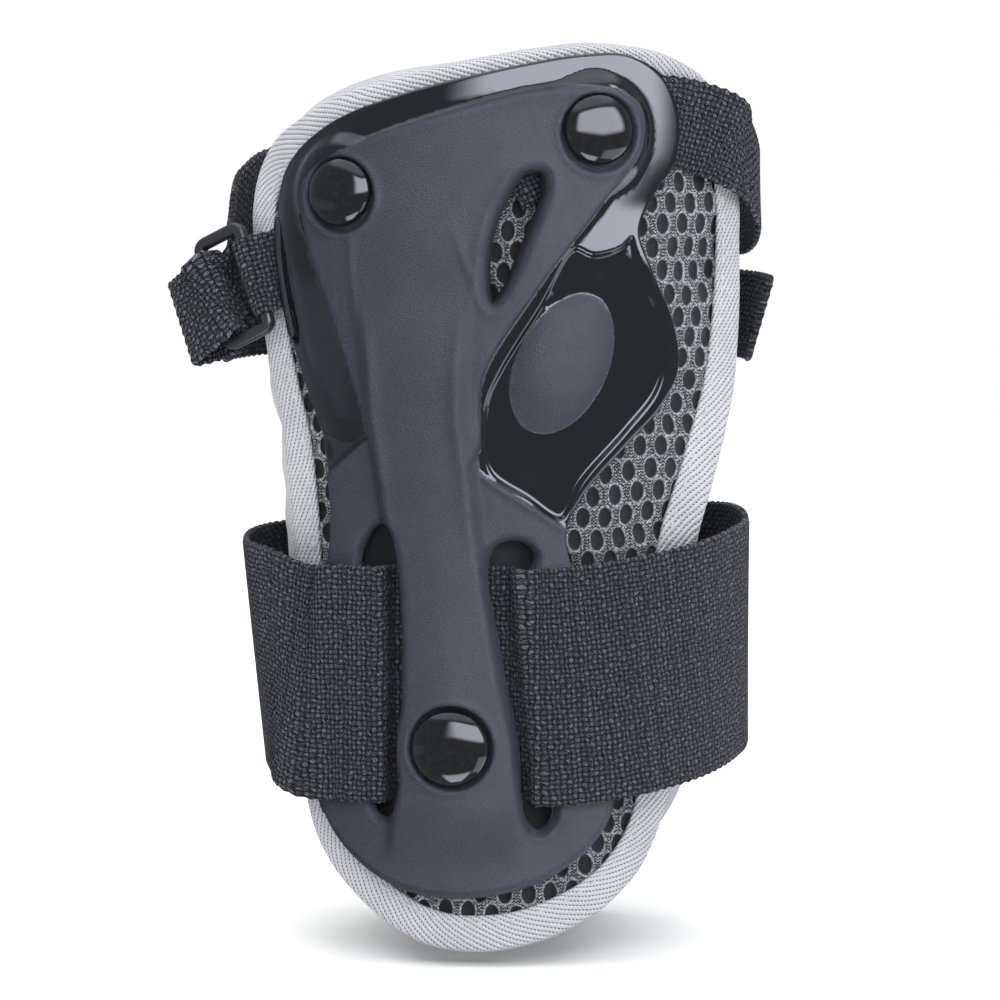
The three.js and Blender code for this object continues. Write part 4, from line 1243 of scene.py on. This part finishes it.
def plate_matte(flat):
    """1 where the plate is grained, 0 where it is polished."""
    s, z = flat.T
    head = signed(flat, MATTE_EDGE)
    left, right = ridges(z)
    rib = np.minimum(s - left, right - s) + 0.9
    rib = np.where(z > 78, -5, rib)
    most = np.maximum(np.maximum(head, rib), foot_depth(flat) + 0.1)
    most = np.maximum(most, (1 - bump_place(flat)) * 11)
    return smooth((most + 0.2) / 0.4)


def plate_points(domain):
    """The face's points: lines of them along each of the plate's edges, then an even spread."""
    groups = []
    for off in (-0.42, -0.05, 0.25, 0.6, 0.95, 1.3, 1.9):
        for rivet in RIVETS:
            r = rivet["cap"] / 2 + WELL_ROOM + off
            turn = np.linspace(0, 2 * math.pi, round(r * 2 * math.pi / 0.75), endpoint=False)
            s = unroll(rivet["x"], rivet["seat"]) + r * np.cos(turn) / (1 + rivet["seat"] / FORM_R)
            groups.append(np.stack([s, rivet["z"] + r * np.sin(turn)], -1))
    for edge in HOLES:
        for off in (0.3, 0.65, 1.05, 1.5, 2.0):
            groups.append(beside(edge, -off, 0.7))
    for off in (-0.25, 0.0, 0.2, 0.5, 0.85, 1.2, 1.7):
        groups.append(beside(MATTE_EDGE, off, 0.8))
    for off in (-0.5, -0.1, 0.2, 0.5, 0.8, 1.1, 1.5, 2.0):
        groups.append(beside(BOWL_EDGE, off, 0.5))
    turn = np.linspace(0, 2 * math.pi, 120, endpoint=False)
    for size in (1.03, 1.0, 0.97, 0.92):
        along = BUMP["long"] * size * np.cos(turn)
        over = BUMP["wide"] * size * np.sin(turn)
        a = BUMP["tilt"]
        s = unroll(BUMP["x"], PLATE_GLOSS) + along * math.cos(a) - over * math.sin(a)
        groups.append(np.stack([s, BUMP["z"] + along * math.sin(a) + over * math.cos(a)], -1))
    z = np.arange(-46, 96, 0.9)
    for off in (-1.3, -0.9, -0.45, 0, 0.45, 0.9, 1.4, 1.9, 2.5):
        left, right = ridges(z)
        groups.append(np.stack([left + off, z], -1))
        groups.append(np.stack([right - off, z], -1))
    table = np.array(FOOT_EDGE)
    s = np.arange(unroll(-40, 5), unroll(20, 5), 0.7)
    edge_z = np.interp(s, unroll(table[:, 0], PLATE_GLOSS), table[:, 1])
    for off in (-0.6, -0.25, 0, 0.3, 0.65, 1.1, 1.7):
        groups.append(np.stack([s, edge_z - off], -1))
    for off in (0.5, 1.0, 1.4, 2.0, 3.0):
        groups.append(beside(PLATE_EDGE, FILLET + off - 0.2, 0.8))
    groups.append(hexes(domain, 1.1))
    points = thin(groups, 0.24)
    keep = signed(points, domain) > 0.2
    for edge in HOLES:
        keep &= signed(points, edge) < -0.2
    return points[keep]


def moulded_plate():
    """The plate: its face and back, the rounded rim and the walls of its holes."""
    domain = inset(PLATE_EDGE, FILLET)
    flat, faces, loops = triangulate(domain, plate_points(domain), HOLES)
    high, low = plate_top(flat), plate_bottom(flat)
    marks = [plate_matte(flat), np.ones(len(flat))]
    count = len(flat)
    out = [palm(flat[:, 0], flat[:, 1], high), palm(flat[:, 0], flat[:, 1], low)]
    polygons = both_faces(faces, count)
    total = 2 * count
    for k, loop in enumerate(loops):
        rings = []
        if k == 0:
            for a in np.radians((18, 36, 54, 72, 90)):
                rings.append((-FILLET * math.sin(a), high[loop] - FILLET * (1 - math.cos(a))))
            rings.append((-FILLET, low[loop] + 0.3))
        else:
            rings.append((SLOT_DRAFT, high[loop] - 0.35))
            rings.append((VENT_DRAFT if k == VENT_LOOP else SLOT_DRAFT, low[loop] + 0.2))
        for by, h in rings:
            moved = inset(flat[loop], by)
            out.append(palm(moved[:, 0], moved[:, 1], h))
            marks.append(marks[0][loop])
        walls = numbered(len(rings), len(loop), total)
        total += len(rings) * len(loop)
        polygons += strips([list(loop), *walls, [i + count for i in loop]])
    points = np.concatenate(out)
    made = piece("moulded_plate", points, polygons, PLATE, None, {"matte": np.concatenate(marks)})
    return show(made, "guard", "plate", "palm_plate")


moulded_plate()


# ------------------------------------------------------------------ rivets and washers
def square_to_palm(points, rivet):
    """Points about the height axis, set square to the palm side at a rivet."""
    s = float(unroll(rivet["x"], rivet["seat"]))
    z = rivet["z"]
    zero = palm(s, z, 0.0)
    x = palm(s + 0.1, z, 0.0) - palm(s - 0.1, z, 0.0)
    up = palm(s, z + 0.1, 0.0) - palm(s, z - 0.1, 0.0)
    out = np.cross(x, up)
    out /= np.linalg.norm(out)
    x /= np.linalg.norm(x)
    up = np.cross(out, x)
    return zero + points[:, :1] * x + points[:, 1:2] * up + points[:, 2:] * out


for rivet in RIVETS:
    radius = rivet["cap"] / 2
    head = rivet["floor"] + 0.3
    crown = radius * 0.42
    profile = [(SHANK / 2 - 0.1, PANEL_BACK - 2.6), (SHANK / 2, PANEL_BACK - 2.4)]
    profile += [(SHANK / 2, head), (radius - 0.5, head), (radius - 0.12, head + 0.1)]
    profile += [(radius, head + 0.3), (radius, head + 0.6)]
    for a in np.radians(np.arange(6, 90, 6)):
        profile.append((radius * math.cos(a) ** 0.85, head + 0.6 + crown * math.sin(a)))
    profile.append((0.05, head + 0.6 + crown))
    points, rows = lathe(profile, 64)
    faces = strips(rows) + [tuple(rows[0]), tuple(rows[-1])]
    cap = piece(f"cap_{rivet['name']}", square_to_palm(points, rivet), faces, CAP)
    show(cap, "guard", "cap", f"rivet_cap_{rivet['name']}")
    top = PANEL_BACK - 0.85
    bore = SHANK / 2 + 0.35
    profile = [(bore, top - 1.2), (bore + 0.2, top - 1.3), (5.1, top - 1.2), (5.4, top - 0.9)]
    profile += [(5.4, top - 0.3), (5.1, top), (bore + 0.2, top), (bore, top - 0.1)]
    points, rows = lathe(profile, 48)
    faces = strips([*rows, rows[0]])
    washer = piece(f"washer_{rivet['name']}", square_to_palm(points, rivet), faces, STEEL)
    show(washer, "guard", "washer", f"rivet_washer_{rivet['name']}")


# ------------------------------------------------------------------ the stay and its pocket
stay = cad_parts["dorsal_splint"]
stay.data.materials.clear()
stay.data.materials.append(STAY_PLASTIC)
rounded = stay.modifiers.new("rounded", "BEVEL")
rounded.width = 0.5 * MM
rounded.segments = 3


def stay_pocket():
    """Cloth sewn down round the stay, drawn over it like a low tunnel."""
    points = thin([hexes(POCKET_EDGE, 1.8)], 0.5)
    points = points[signed(points, POCKET_EDGE) > 0.8]
    groups = [beside(POCKET_EDGE, by, 1.4) for by in (1.2, 2.4, 3.6, 5.0, 6.5)]
    points = thin([*groups, points], 0.6)
    region = triangulate(POCKET_EDGE, points)
    rise = smooth((signed(region[0], POCKET_EDGE) - 1.6) / 5.0)
    pull = np.array([noise.noise(Vector((s / 9, z / 13, 4))) for s, z in region[0]])
    face = 1.55 + 2.25 * rise + 0.35 * pull * rise
    return slab("pocket_cloth", dorsal, region, face, face - 0.55, COVER)


pocket = stay_pocket()
show(pocket, "guard", "cover", "splint_pocket")
for by, high in ((0.9, 1.62), (2.6, 1.95)):
    seam = inset(POCKET_EDGE, by)
    looks = (DARK_THREAD, 2.6, 0.8, 0.24)
    row = seam_round(f"pocket_seam_{round(by * 10)}", dorsal, seam, high, *looks)
    show(row, "guard", "cover")


# ------------------------------------------------------------------ the side gusset
GUSSET_FROM, GUSSET_TO = -24.0, 64.0
GUSSET_HANDLE = 7.5
GUSSET_WIDE = 30.0
MID_DEPTH = -4.0


def edge_out(rim, side, z):
    """A panel's left edge at a height, and the way that its face runs on there."""
    cuts = []
    for (ax, az), (bx, bz) in zip(rim, np.roll(rim, -1, 0)):
        if (az - z) * (bz - z) < 0:
            cuts.append(ax + (bx - ax) * (z - az) / (bz - az))
    s = min(cuts)
    edge = side(s, z, MID_DEPTH)
    out = edge - side(s + 0.5, z, MID_DEPTH)
    return edge, out / np.linalg.norm(out)


def gusset_cloth():
    nu, nv = 26, 88
    points = []
    uv = []
    for j in range(nv + 1):
        z = GUSSET_FROM + (GUSSET_TO - GUSSET_FROM) * j / nv
        a, a_out = edge_out(PALM_EDGE, palm, z)
        b, b_out = edge_out(DORSAL_EDGE, dorsal, z)
        p0, p1 = a + a_out * 0.3, a + a_out * GUSSET_HANDLE
        p2, p3 = b + b_out * GUSSET_HANDLE, b + b_out * 0.3
        for i in range(nu + 1):
            t = i / nu
            p = (1 - t) ** 3 * p0 + 3 * t * (1 - t) ** 2 * p1
            p = p + 3 * t * t * (1 - t) * p2 + t**3 * p3
            slack = math.sin(math.pi * t) ** 0.7 * smooth(min(j, nv - j) / 6)
            fold = noise.noise(Vector((z / 6.5, t * 1.3, 2.0)))
            crease = noise.noise(Vector((z / 3.1 + t * 2, t * 2.2, 8.0)))
            p = p + a_out * slack * (1.3 * fold + 0.5 * crease)
            points.append(p)
            uv.append((t * GUSSET_WIDE, z))
    faces = strips(numbered(nv + 1, nu + 1), closed=False)
    cloth = piece("gusset_cloth", points, faces, GUSSET, np.array(uv))
    thick = cloth.modifiers.new("thick", "SOLIDIFY")
    thick.thickness = 0.9 * MM
    thick.offset = 0
    soften = cloth.modifiers.new("soften", "SUBSURF")
    soften.levels = soften.render_levels = 1
    return cloth


gusset = gusset_cloth()
show(gusset, "guard", "gusset", "side_gusset")


# ------------------------------------------------------------------ the wrist strap
WRIST_Z = -3.2
POCKET_FACE = 3.95
STRAP_H = PLATE_GLOSS + LAYER_GAP + WRIST_THICK / 2 + 0.35
UNDER_H = 1.1
BACK_H = POCKET_FACE + LAYER_GAP + WRIST_THICK / 2 + 0.2
FLAP_H = BACK_H + WRIST_THICK + 2 * PATCH_THICK + 3 * LAYER_GAP + 0.3
SLANT = (-0.111, 0, 1)


def over_palm(x, h, z=WRIST_Z):
    return tuple(palm(unroll(x, h), z, h))


def over_back(x, h, z):
    return tuple(dorsal(unroll(x, h), z, h))


WRIST_LINE = [
    (over_back(-5, BACK_H, 0),),
    (over_back(-20, BACK_H, 0),),
    (over_back(-34, BACK_H, 0),),
    ((-48, 19.5, 0), (-0.06, 0, 1)),
    ((-52.3, 6, 0), (-0.1, 0, 1)),
    ((-51.8, -8, -0.5), (-0.1, 0, 1)),
    ((-47.8, -19.5, -1), (-0.05, 0, 1)),
    (over_palm(-41, STRAP_H + 0.6),),
    (over_palm(-34, STRAP_H + 0.1),),
    (over_palm(-27.5, STRAP_H),),
    (over_palm(-25, STRAP_H - 0.5),),
    (over_palm(-24, 3.4),),
    (over_palm(-23, UNDER_H + 0.4),),
    (over_palm(-19.5, UNDER_H),),
    (over_palm(-10, UNDER_H),),
    (over_palm(-1, UNDER_H), SLANT),
    (over_palm(3.2, UNDER_H + 0.3), SLANT),
    (over_palm(4.8, 3.2), SLANT),
    (over_palm(6.2, STRAP_H - 0.5), SLANT),
    (over_palm(9, STRAP_H), SLANT),
    (over_palm(18, STRAP_H, -2.6), SLANT),
    (over_palm(30, STRAP_H + 0.4, -1.2), (-0.05, 0, 1)),
    ((44, -22.5, 1),),
    ((51.5, -9, 3),),
    ((53.2, 2, 4),),
    ((52.0, 12.9, 4.5),),
    ((49.2, 22.5, 4.2),),
    ((42.5, 31, 3.6),),
    (over_back(30, FLAP_H + 0.2, 2.6),),
    (over_back(14, FLAP_H, 1.6),),
    (over_back(-2, FLAP_H, 0.8),),
    (over_back(-18, FLAP_H, 0),),
    (over_back(-32, FLAP_H, 0),),
]
# The free flap begins at this station, on the thumb's side.
FLAP_START = 24
wrist = webbing("wrist_strap_web", WRIST_LINE, WRIST_WEB, WRIST_THICK, WEB, 0, FLAP_START)
show(wrist, "guard", "webbing", "wrist_strap")
flap = webbing("wrist_flap_web", WRIST_LINE, WRIST_WEB, WRIST_THICK, WEB, FLAP_START, None)
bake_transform(flap)
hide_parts("wrist_flap")


# A patch's edge is thinner than its middle by this share.
PATCH_SOFT = 0.32


def fastener(name, left, right, z, length, h, material):
    """A fastener patch that lies at a height over the back, with softened edges."""
    nu, nv = 30, 30
    points = []
    u = np.linspace(float(unroll(left, h)), float(unroll(right, h)), nu + 1)
    v = np.linspace(z - length / 2, z + length / 2, nv + 1)
    for shift in (PATCH_THICK / 2, -PATCH_THICK / 2):
        for i, s in enumerate(u):
            for j, y in enumerate(v):
                soft = PATCH_SOFT if min(i, nu - i, j, nv - j) == 0 else 0.0
                points.append((s, y, h + shift * (1 - soft)))
    points = np.array(points)
    count = (nu + 1) * (nv + 1)
    rows = numbered(nu + 1, nv + 1)
    faces = strips(rows, False) + strips(numbered(nu + 1, nv + 1, count), False)
    ring = [*rows[0], *(row[-1] for row in rows[1:-1])]
    ring += [*rows[-1][::-1], *(row[0] for row in rows[-2:0:-1])]
    faces += strips([ring, [i + count for i in ring]])
    return piece(name, dorsal(*points.T), faces, material, points[:, :2])


LOOP_H = BACK_H + (WRIST_THICK + PATCH_THICK) / 2 + LAYER_GAP
HOOK_H = LOOP_H + PATCH_THICK + LAYER_GAP + 0.1
show(
    fastener("wrist_loop_tape", -27, -5, 0, 44, LOOP_H - 0.3, LOOPS),
    "guard", "patch", "wrist_loop",
)
show(
    fastener("wrist_hook_tape", -27, -5, 0, 44, HOOK_H + 0.3, HOOKS),
    "wrist_free_end", "patch", "wrist_hook",
)


def seam_on_strap(name, stations, thick, ends):
    """Stitches straight across a strap's outer face. ends are ((station, across), ...)."""
    line, at = spline([s[0] for s in stations])
    length, centre, across, out = line_frames(stations, 0.4)
    run = runs(line)
    points = []
    normals = []
    for station, v in ends:
        i = int(np.searchsorted(length, np.interp(station, at, run)))
        points.append(centre[i] + across[i] * v + out[i] * (thick / 2 + 0.12))
        normals.append(out[i])
    return thread(name, np.array(points), np.array(normals), DARK_THREAD, 2.2, 0.7, 0.3)


# The free run is sewn on by slanting rows beside the thumb's side of the plate.
for k, (low, high) in enumerate(((20.70, 20.20), (20.92, 20.42))):
    row = seam_on_strap(
        f"wrist_strap_seam_{k + 1}", WRIST_LINE, WRIST_THICK, ((high, 23), (low, -23))
    )
    show(row, "guard", "webbing")


# ------------------------------------------------------------------ the ring and its tab
def unit(v):
    """The same way, one long."""
    v = np.array(v, float)
    return v / np.linalg.norm(v)


# The ring's ways: along its bars, outward over its opening, and out of its face. HELD and
# FREE are the middles of the bar in the tab and of the bar that the hand strap turns round.
LONG = unit((-0.303, 0.313, 0.9))
OUT = unit((-0.803, 0.426, -0.419))
HELD = np.array((-51.8, -19.8, 81.7))
FREE = HELD + OUT * RING_REACH
FRONT = unit(np.cross(LONG, OUT))


def fold(centre, radius, degrees, back=0.0):
    """A point at an angle round one of the ring's bars: 0 is outward and 90 in front."""
    a = math.radians(degrees)
    return tuple(centre + OUT * radius * math.cos(a) + FRONT * (radius * math.sin(a) - back))


def strap_ring():
    """Moulded rectangle with rounded corners and a softened square section."""
    reach = (RING_INNER + RING_BAR) / 2
    corner = 1.6
    path = []
    for cx, cy, start in (
        (RING_REACH - corner, reach - corner, 0),
        (corner, reach - corner, 90),
        (corner, corner - reach, 180),
        (RING_REACH - corner, corner - reach, 270),
    ):
        for a in np.radians(np.arange(start, start + 91, 15)):
            path.append(((cx + corner * math.cos(a), cy + corner * math.sin(a)),
                         (math.cos(a), math.sin(a))))
    section = []
    half = RING_BAR / 2
    for a in np.radians(np.arange(0, 360, 15)):
        c, s = math.cos(a), math.sin(a)
        size = half / (abs(c) ** 3.2 + abs(s) ** 3.2) ** (1 / 3.2)
        section.append((c * size, s * size))
    points = []
    for (x, y), (nx, ny) in path:
        way = OUT * nx + LONG * ny
        middle = HELD + OUT * x + LONG * y
        points += [middle + way * a + FRONT * b for a, b in section]
    rows = numbered(len(path), len(section))
    return piece("moulded_ring", np.array(points), strips([*rows, rows[0]]), RING)


show(strap_ring(), "ring", "ring", "strap_ring")

TAB_H = 2.45
TAB_TURN = RING_BAR / 2 + 0.35 + TAB_THICK / 2
TAB_LINE = [
    (tuple(palm(unroll(-42), 84.5, TAB_H)), (-0.3, 0.24, 0.92)),
    (tuple(palm(unroll(-45.3), 83.4, TAB_H + 0.1)), (-0.3, 0.28, 0.91)),
]
TAB_LINE += [(fold(HELD, TAB_TURN, a), LONG) for a in (100, 60, 20, -20, -60, -95)]
tab = webbing("ring_tab_web", TAB_LINE, TAB_WEB, TAB_THICK, WEB, seed=4.0)
show(tab, "guard", "webbing", "ring_tab")

# ------------------------------------------------------------------ the hand strap
PLAY = 1.5
STRAP_TURN = RING_BAR / 2 + PLAY + HAND_THICK / 2
HAND_BACK_H = 3.4
UNDER_PLATE_H = 1.55
TAIL_H = 7.7
TAIL_Z = 71.8
SLACK = 6.2
DROP = 2.4
ROCK_ROOM = 1.3


def loose_fold(degrees):
    """The strap's fold, which stands well out from the ring and slips down along it.
    Behind the ring it stands off a little, so that the ring has room to rock.
    """
    turn = STRAP_TURN + ROCK_ROOM * float(smooth(-degrees / 60))
    outward = max(0.0, math.cos(math.radians(degrees))) ** 2
    slipped = float(smooth((150 - degrees) / 110))
    return tuple(
        np.array(fold(FREE, turn, degrees)) + OUT * SLACK * outward - LONG * DROP * slipped
    )


def on_palm(x, z, h):
    return tuple(palm(unroll(x), z, h))


HAND_LINE = [
    (on_palm(0.5, 104.8, UNDER_PLATE_H), (-0.5, 0, 0.87)),
    (on_palm(11, 109.8, UNDER_PLATE_H), (-0.38, 0, 0.92)),
    (on_palm(21, 113, UNDER_PLATE_H + 0.1), (-0.15, 0, 1)),
    (on_palm(31, 114.4, 2.2), (0.08, 0, 1)),
    (on_palm(38, 113.4, 2.7), (0.15, 0, 1)),
    (on_palm(44.5, 110.4, 4.4), (0.12, 0, 1)),
    ((52.6, -12.5, 105.2), (-0.02, 0.3, 1)),
    ((55, -3.5, 99.6), (0, 0.4, 1)),
    ((54.2, 6, 95.4), (0, 0.2, 1)),
    ((50.6, 17.5, 94),),
    (over_back(40, HAND_BACK_H + 0.5, 95),),
    (over_back(24, HAND_BACK_H, 97.6),),
    (over_back(5, HAND_BACK_H, 100.4),),
    (over_back(-18, HAND_BACK_H, 102), (-0.04, 0, 1)),
    (over_back(-37, HAND_BACK_H, 101), (-0.1, 0, 1)),
    ((-48.6, 20, 98.6), (-0.15, 0, 1)),
    ((-54.4, 9, 95), (-0.1, -0.2, 1)),
    ((-56.8, 0, 90.5), (0, -0.25, 1)),
    ((-56.6, -7, 85.5), (-0.1, -0.1, 1)),
    (fold(FREE, STRAP_TURN, 180, 3), LONG),
]
HAND_LINE += [(loose_fold(a), LONG) for a in (150, 115, 75, 40, 5, -30, -60, -82)]
FOLD_END = len(HAND_LINE) - 1
HAND_LINE += [
    ((-60.3, -6.2, 72.7), (-0.2, 0.2, 1)),
    ((-60.1, 1.5, 71.8), (-0.1, 0.08, 1)),
    ((-58, 10, 71.7),),
    ((-51.5, 22, TAIL_Z),),
    (over_back(-37, TAIL_H + 0.3, TAIL_Z),),
    (over_back(-20, TAIL_H, TAIL_Z),),
    (over_back(0, TAIL_H, TAIL_Z),),
    (over_back(20, TAIL_H, TAIL_Z),),
    (over_back(38, TAIL_H, 72),),
    ((50.8, 19.5, TAIL_Z), (0.05, 0, 1)),
    ((55.2, 7, 71.6), (0.15, 0.1, 1)),
    ((55.8, -3, 71.6), (0.28, 0.2, 1)),
]
hand = webbing("hand_strap_web", HAND_LINE, HAND_WEB, HAND_THICK, WEB, 0, FOLD_END, 11.0)
show(hand, "guard", "webbing", "hand_strap")
tail = webbing("hand_tail_web", HAND_LINE, HAND_WEB, HAND_THICK, WEB, FOLD_END, None, 11.0)
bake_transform(tail)
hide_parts("hand_strap_tail")

HAND_PATCH = HAND_WEB - 2
HAND_LOOP_H = POCKET_FACE + LAYER_GAP + PATCH_THICK / 2 + 0.1
HAND_HOOK_H = TAIL_H - HAND_THICK / 2 - LAYER_GAP - PATCH_THICK / 2 - 0.1
show(
    fastener("hand_loop_tape", -14, 14, TAIL_Z, HAND_PATCH, HAND_LOOP_H, LOOPS),
    "guard", "patch", "hand_loop",
)
show(
    fastener("hand_hook_tape", -16, 16, TAIL_Z, HAND_PATCH, HAND_HOOK_H + 0.2, HOOKS),
    "hand_free_end", "patch", "hand_hook",
)


# ------------------------------------------------------------------ floor, light and camera
scene = bpy.context.scene
scene.view_settings.view_transform = "Standard"
ROOM_SEEN = 1.0
ROOM_FILL = 0.22
ROOM_MIRRORED = 0.42
# Each panel's span across and up in degrees, from straight ahead of the guard, its soft
# edges, and its level.
PANELS = [
    ((-2, 62), (9, 36), (20, 7), 9.0),
    ((45, 115), (-48, -24), (10, 5), 2.5),
    ((-24, 24), (-72, -50), (14, 7), 7.0),
    ((-95, -60), (-14, -6), (12, 6), 0.3),
    ((-180, 180), (55, 90), (1, 14), 1.6),
]
FLOOR_RADIUS = 1.4

FLOOR = Look("pale_floor", Roughness=0.9, Specular_IOR_Level=0.2)
FLOOR.colour(FLOOR.mix(FLOOR.noise(300.0, 2.0), grey(0.90), grey(0.94)))
bpy.ops.mesh.primitive_circle_add(vertices=96, radius=FLOOR_RADIUS, fill_type="NGON")
floor = bpy.context.object
floor.name = "floor"
floor.location.z = cad_box[0][2] - 0.002
floor.data.materials.append(FLOOR.material)
floor.visible_glossy = False

world = bpy.data.worlds.new("studio")
scene.world = world
world.use_nodes = True
world.node_tree.nodes.clear()
room = Nodes(world.node_tree)
toward = room.add("SeparateXYZ", Vector=room.add("TexCoord").outputs["Generated"]).outputs
forward = room.times(toward[1], -1.0)
AZIMUTH = room.math("ARCTAN2", toward[0], forward)
HEIGHT = room.math("ARCSINE", toward[2])


def between_angles(angle, start, end, soft):
    """1 from start to end, in degrees, fading to 0 over the soft width outside them."""
    low, high, fade = math.radians(start), math.radians(end), math.radians(soft)
    rising = room.ramp(angle, low - fade, low)
    falling = room.ramp(angle, high + fade, high)
    return room.times(rising, falling)


def pane(across, up, soft, level):
    """A soft-edged bright panel of the room, as the gloss mirrors it."""
    wide = between_angles(AZIMUTH, *across, soft[0])
    tall = between_angles(HEIGHT, *up, soft[1])
    return room.times(wide, tall, level)


def backdrop(level, blue=1.0):
    """An even light all round, bluer where blue is above 1."""
    return room.add("Background", Color=grey(1.0, blue), Strength=level).outputs[0]


def switched(ray, off, on):
    """The surroundings on for one kind of ray, and off for the others."""
    node = room.add("MixShader")
    for socket, value in zip(node.inputs, (path.outputs[ray], off, on)):
        room.put(socket, value)
    return node.outputs[0]


# A pale backdrop all round. What the gloss mirrors is a dim studio with a few soft panels.
path = room.add("LightPath")
panels = ROOM_MIRRORED
for across, up, soft, level in PANELS:
    panels = room.math("ADD", panels, pane(across, up, soft, level))
mirrored = switched("Is Glossy Ray", backdrop(ROOM_FILL), backdrop(panels, 1.18))
room.add("OutputWorld", Surface=switched("Is Camera Ray", mirrored, backdrop(ROOM_SEEN)))


def softbox(name, place, aim, width, height, power):
    """A soft lamp that lights the guard, and that the gloss doesn't mirror."""
    light = bpy.data.lights.new(name, "AREA")
    light.shape = "RECTANGLE"
    light.size, light.size_y = width, height
    light.energy = power
    obj = bpy.data.objects.new(name, light)
    scene.collection.objects.link(obj)
    obj.visible_glossy = False
    obj.location = place
    obj.rotation_euler = (Vector(aim) - Vector(place)).to_track_quat("-Z", "Y").to_euler()


TARGET = (0.0, -0.035, 0.0358)
softbox("sky", (0.0, 0.0, 1.7), (0.0, 0.001, 0.0), 3.2, 3.2, 80)
softbox("front", (0.15, -1.2, 0.72), TARGET, 1.6, 0.5, 11)
softbox("window", (0.97, -0.76, 0.20), TARGET, 0.45, 0.45, 2.5)
softbox("card", (0.25, -0.40, -0.02), (0.02, -0.035, 0.08), 0.10, 0.07, 0.16)
softbox("side", (-1.1, -0.35, 0.25), TARGET, 0.25, 0.5, 2.5)

# The long lens and the field in metres that it takes in at the guard set the distance.
LENS = 150.0
SENSOR = 36.0
FIELD = 0.20833
DISTANCE = FIELD * LENS / SENSOR
ELEVATION = math.radians(6)
camera = bpy.data.objects.new("camera", bpy.data.cameras.new("camera"))
scene.collection.objects.link(camera)
camera.data.lens = LENS
camera.data.sensor_width = SENSOR
camera.data.clip_start = 0.01
camera.location = Vector(TARGET) + Vector((0, -math.cos(ELEVATION), math.sin(ELEVATION))) * DISTANCE
camera.rotation_euler = (Vector(TARGET) - camera.location).to_track_quat("-Z", "Y").to_euler()
scene.camera = camera
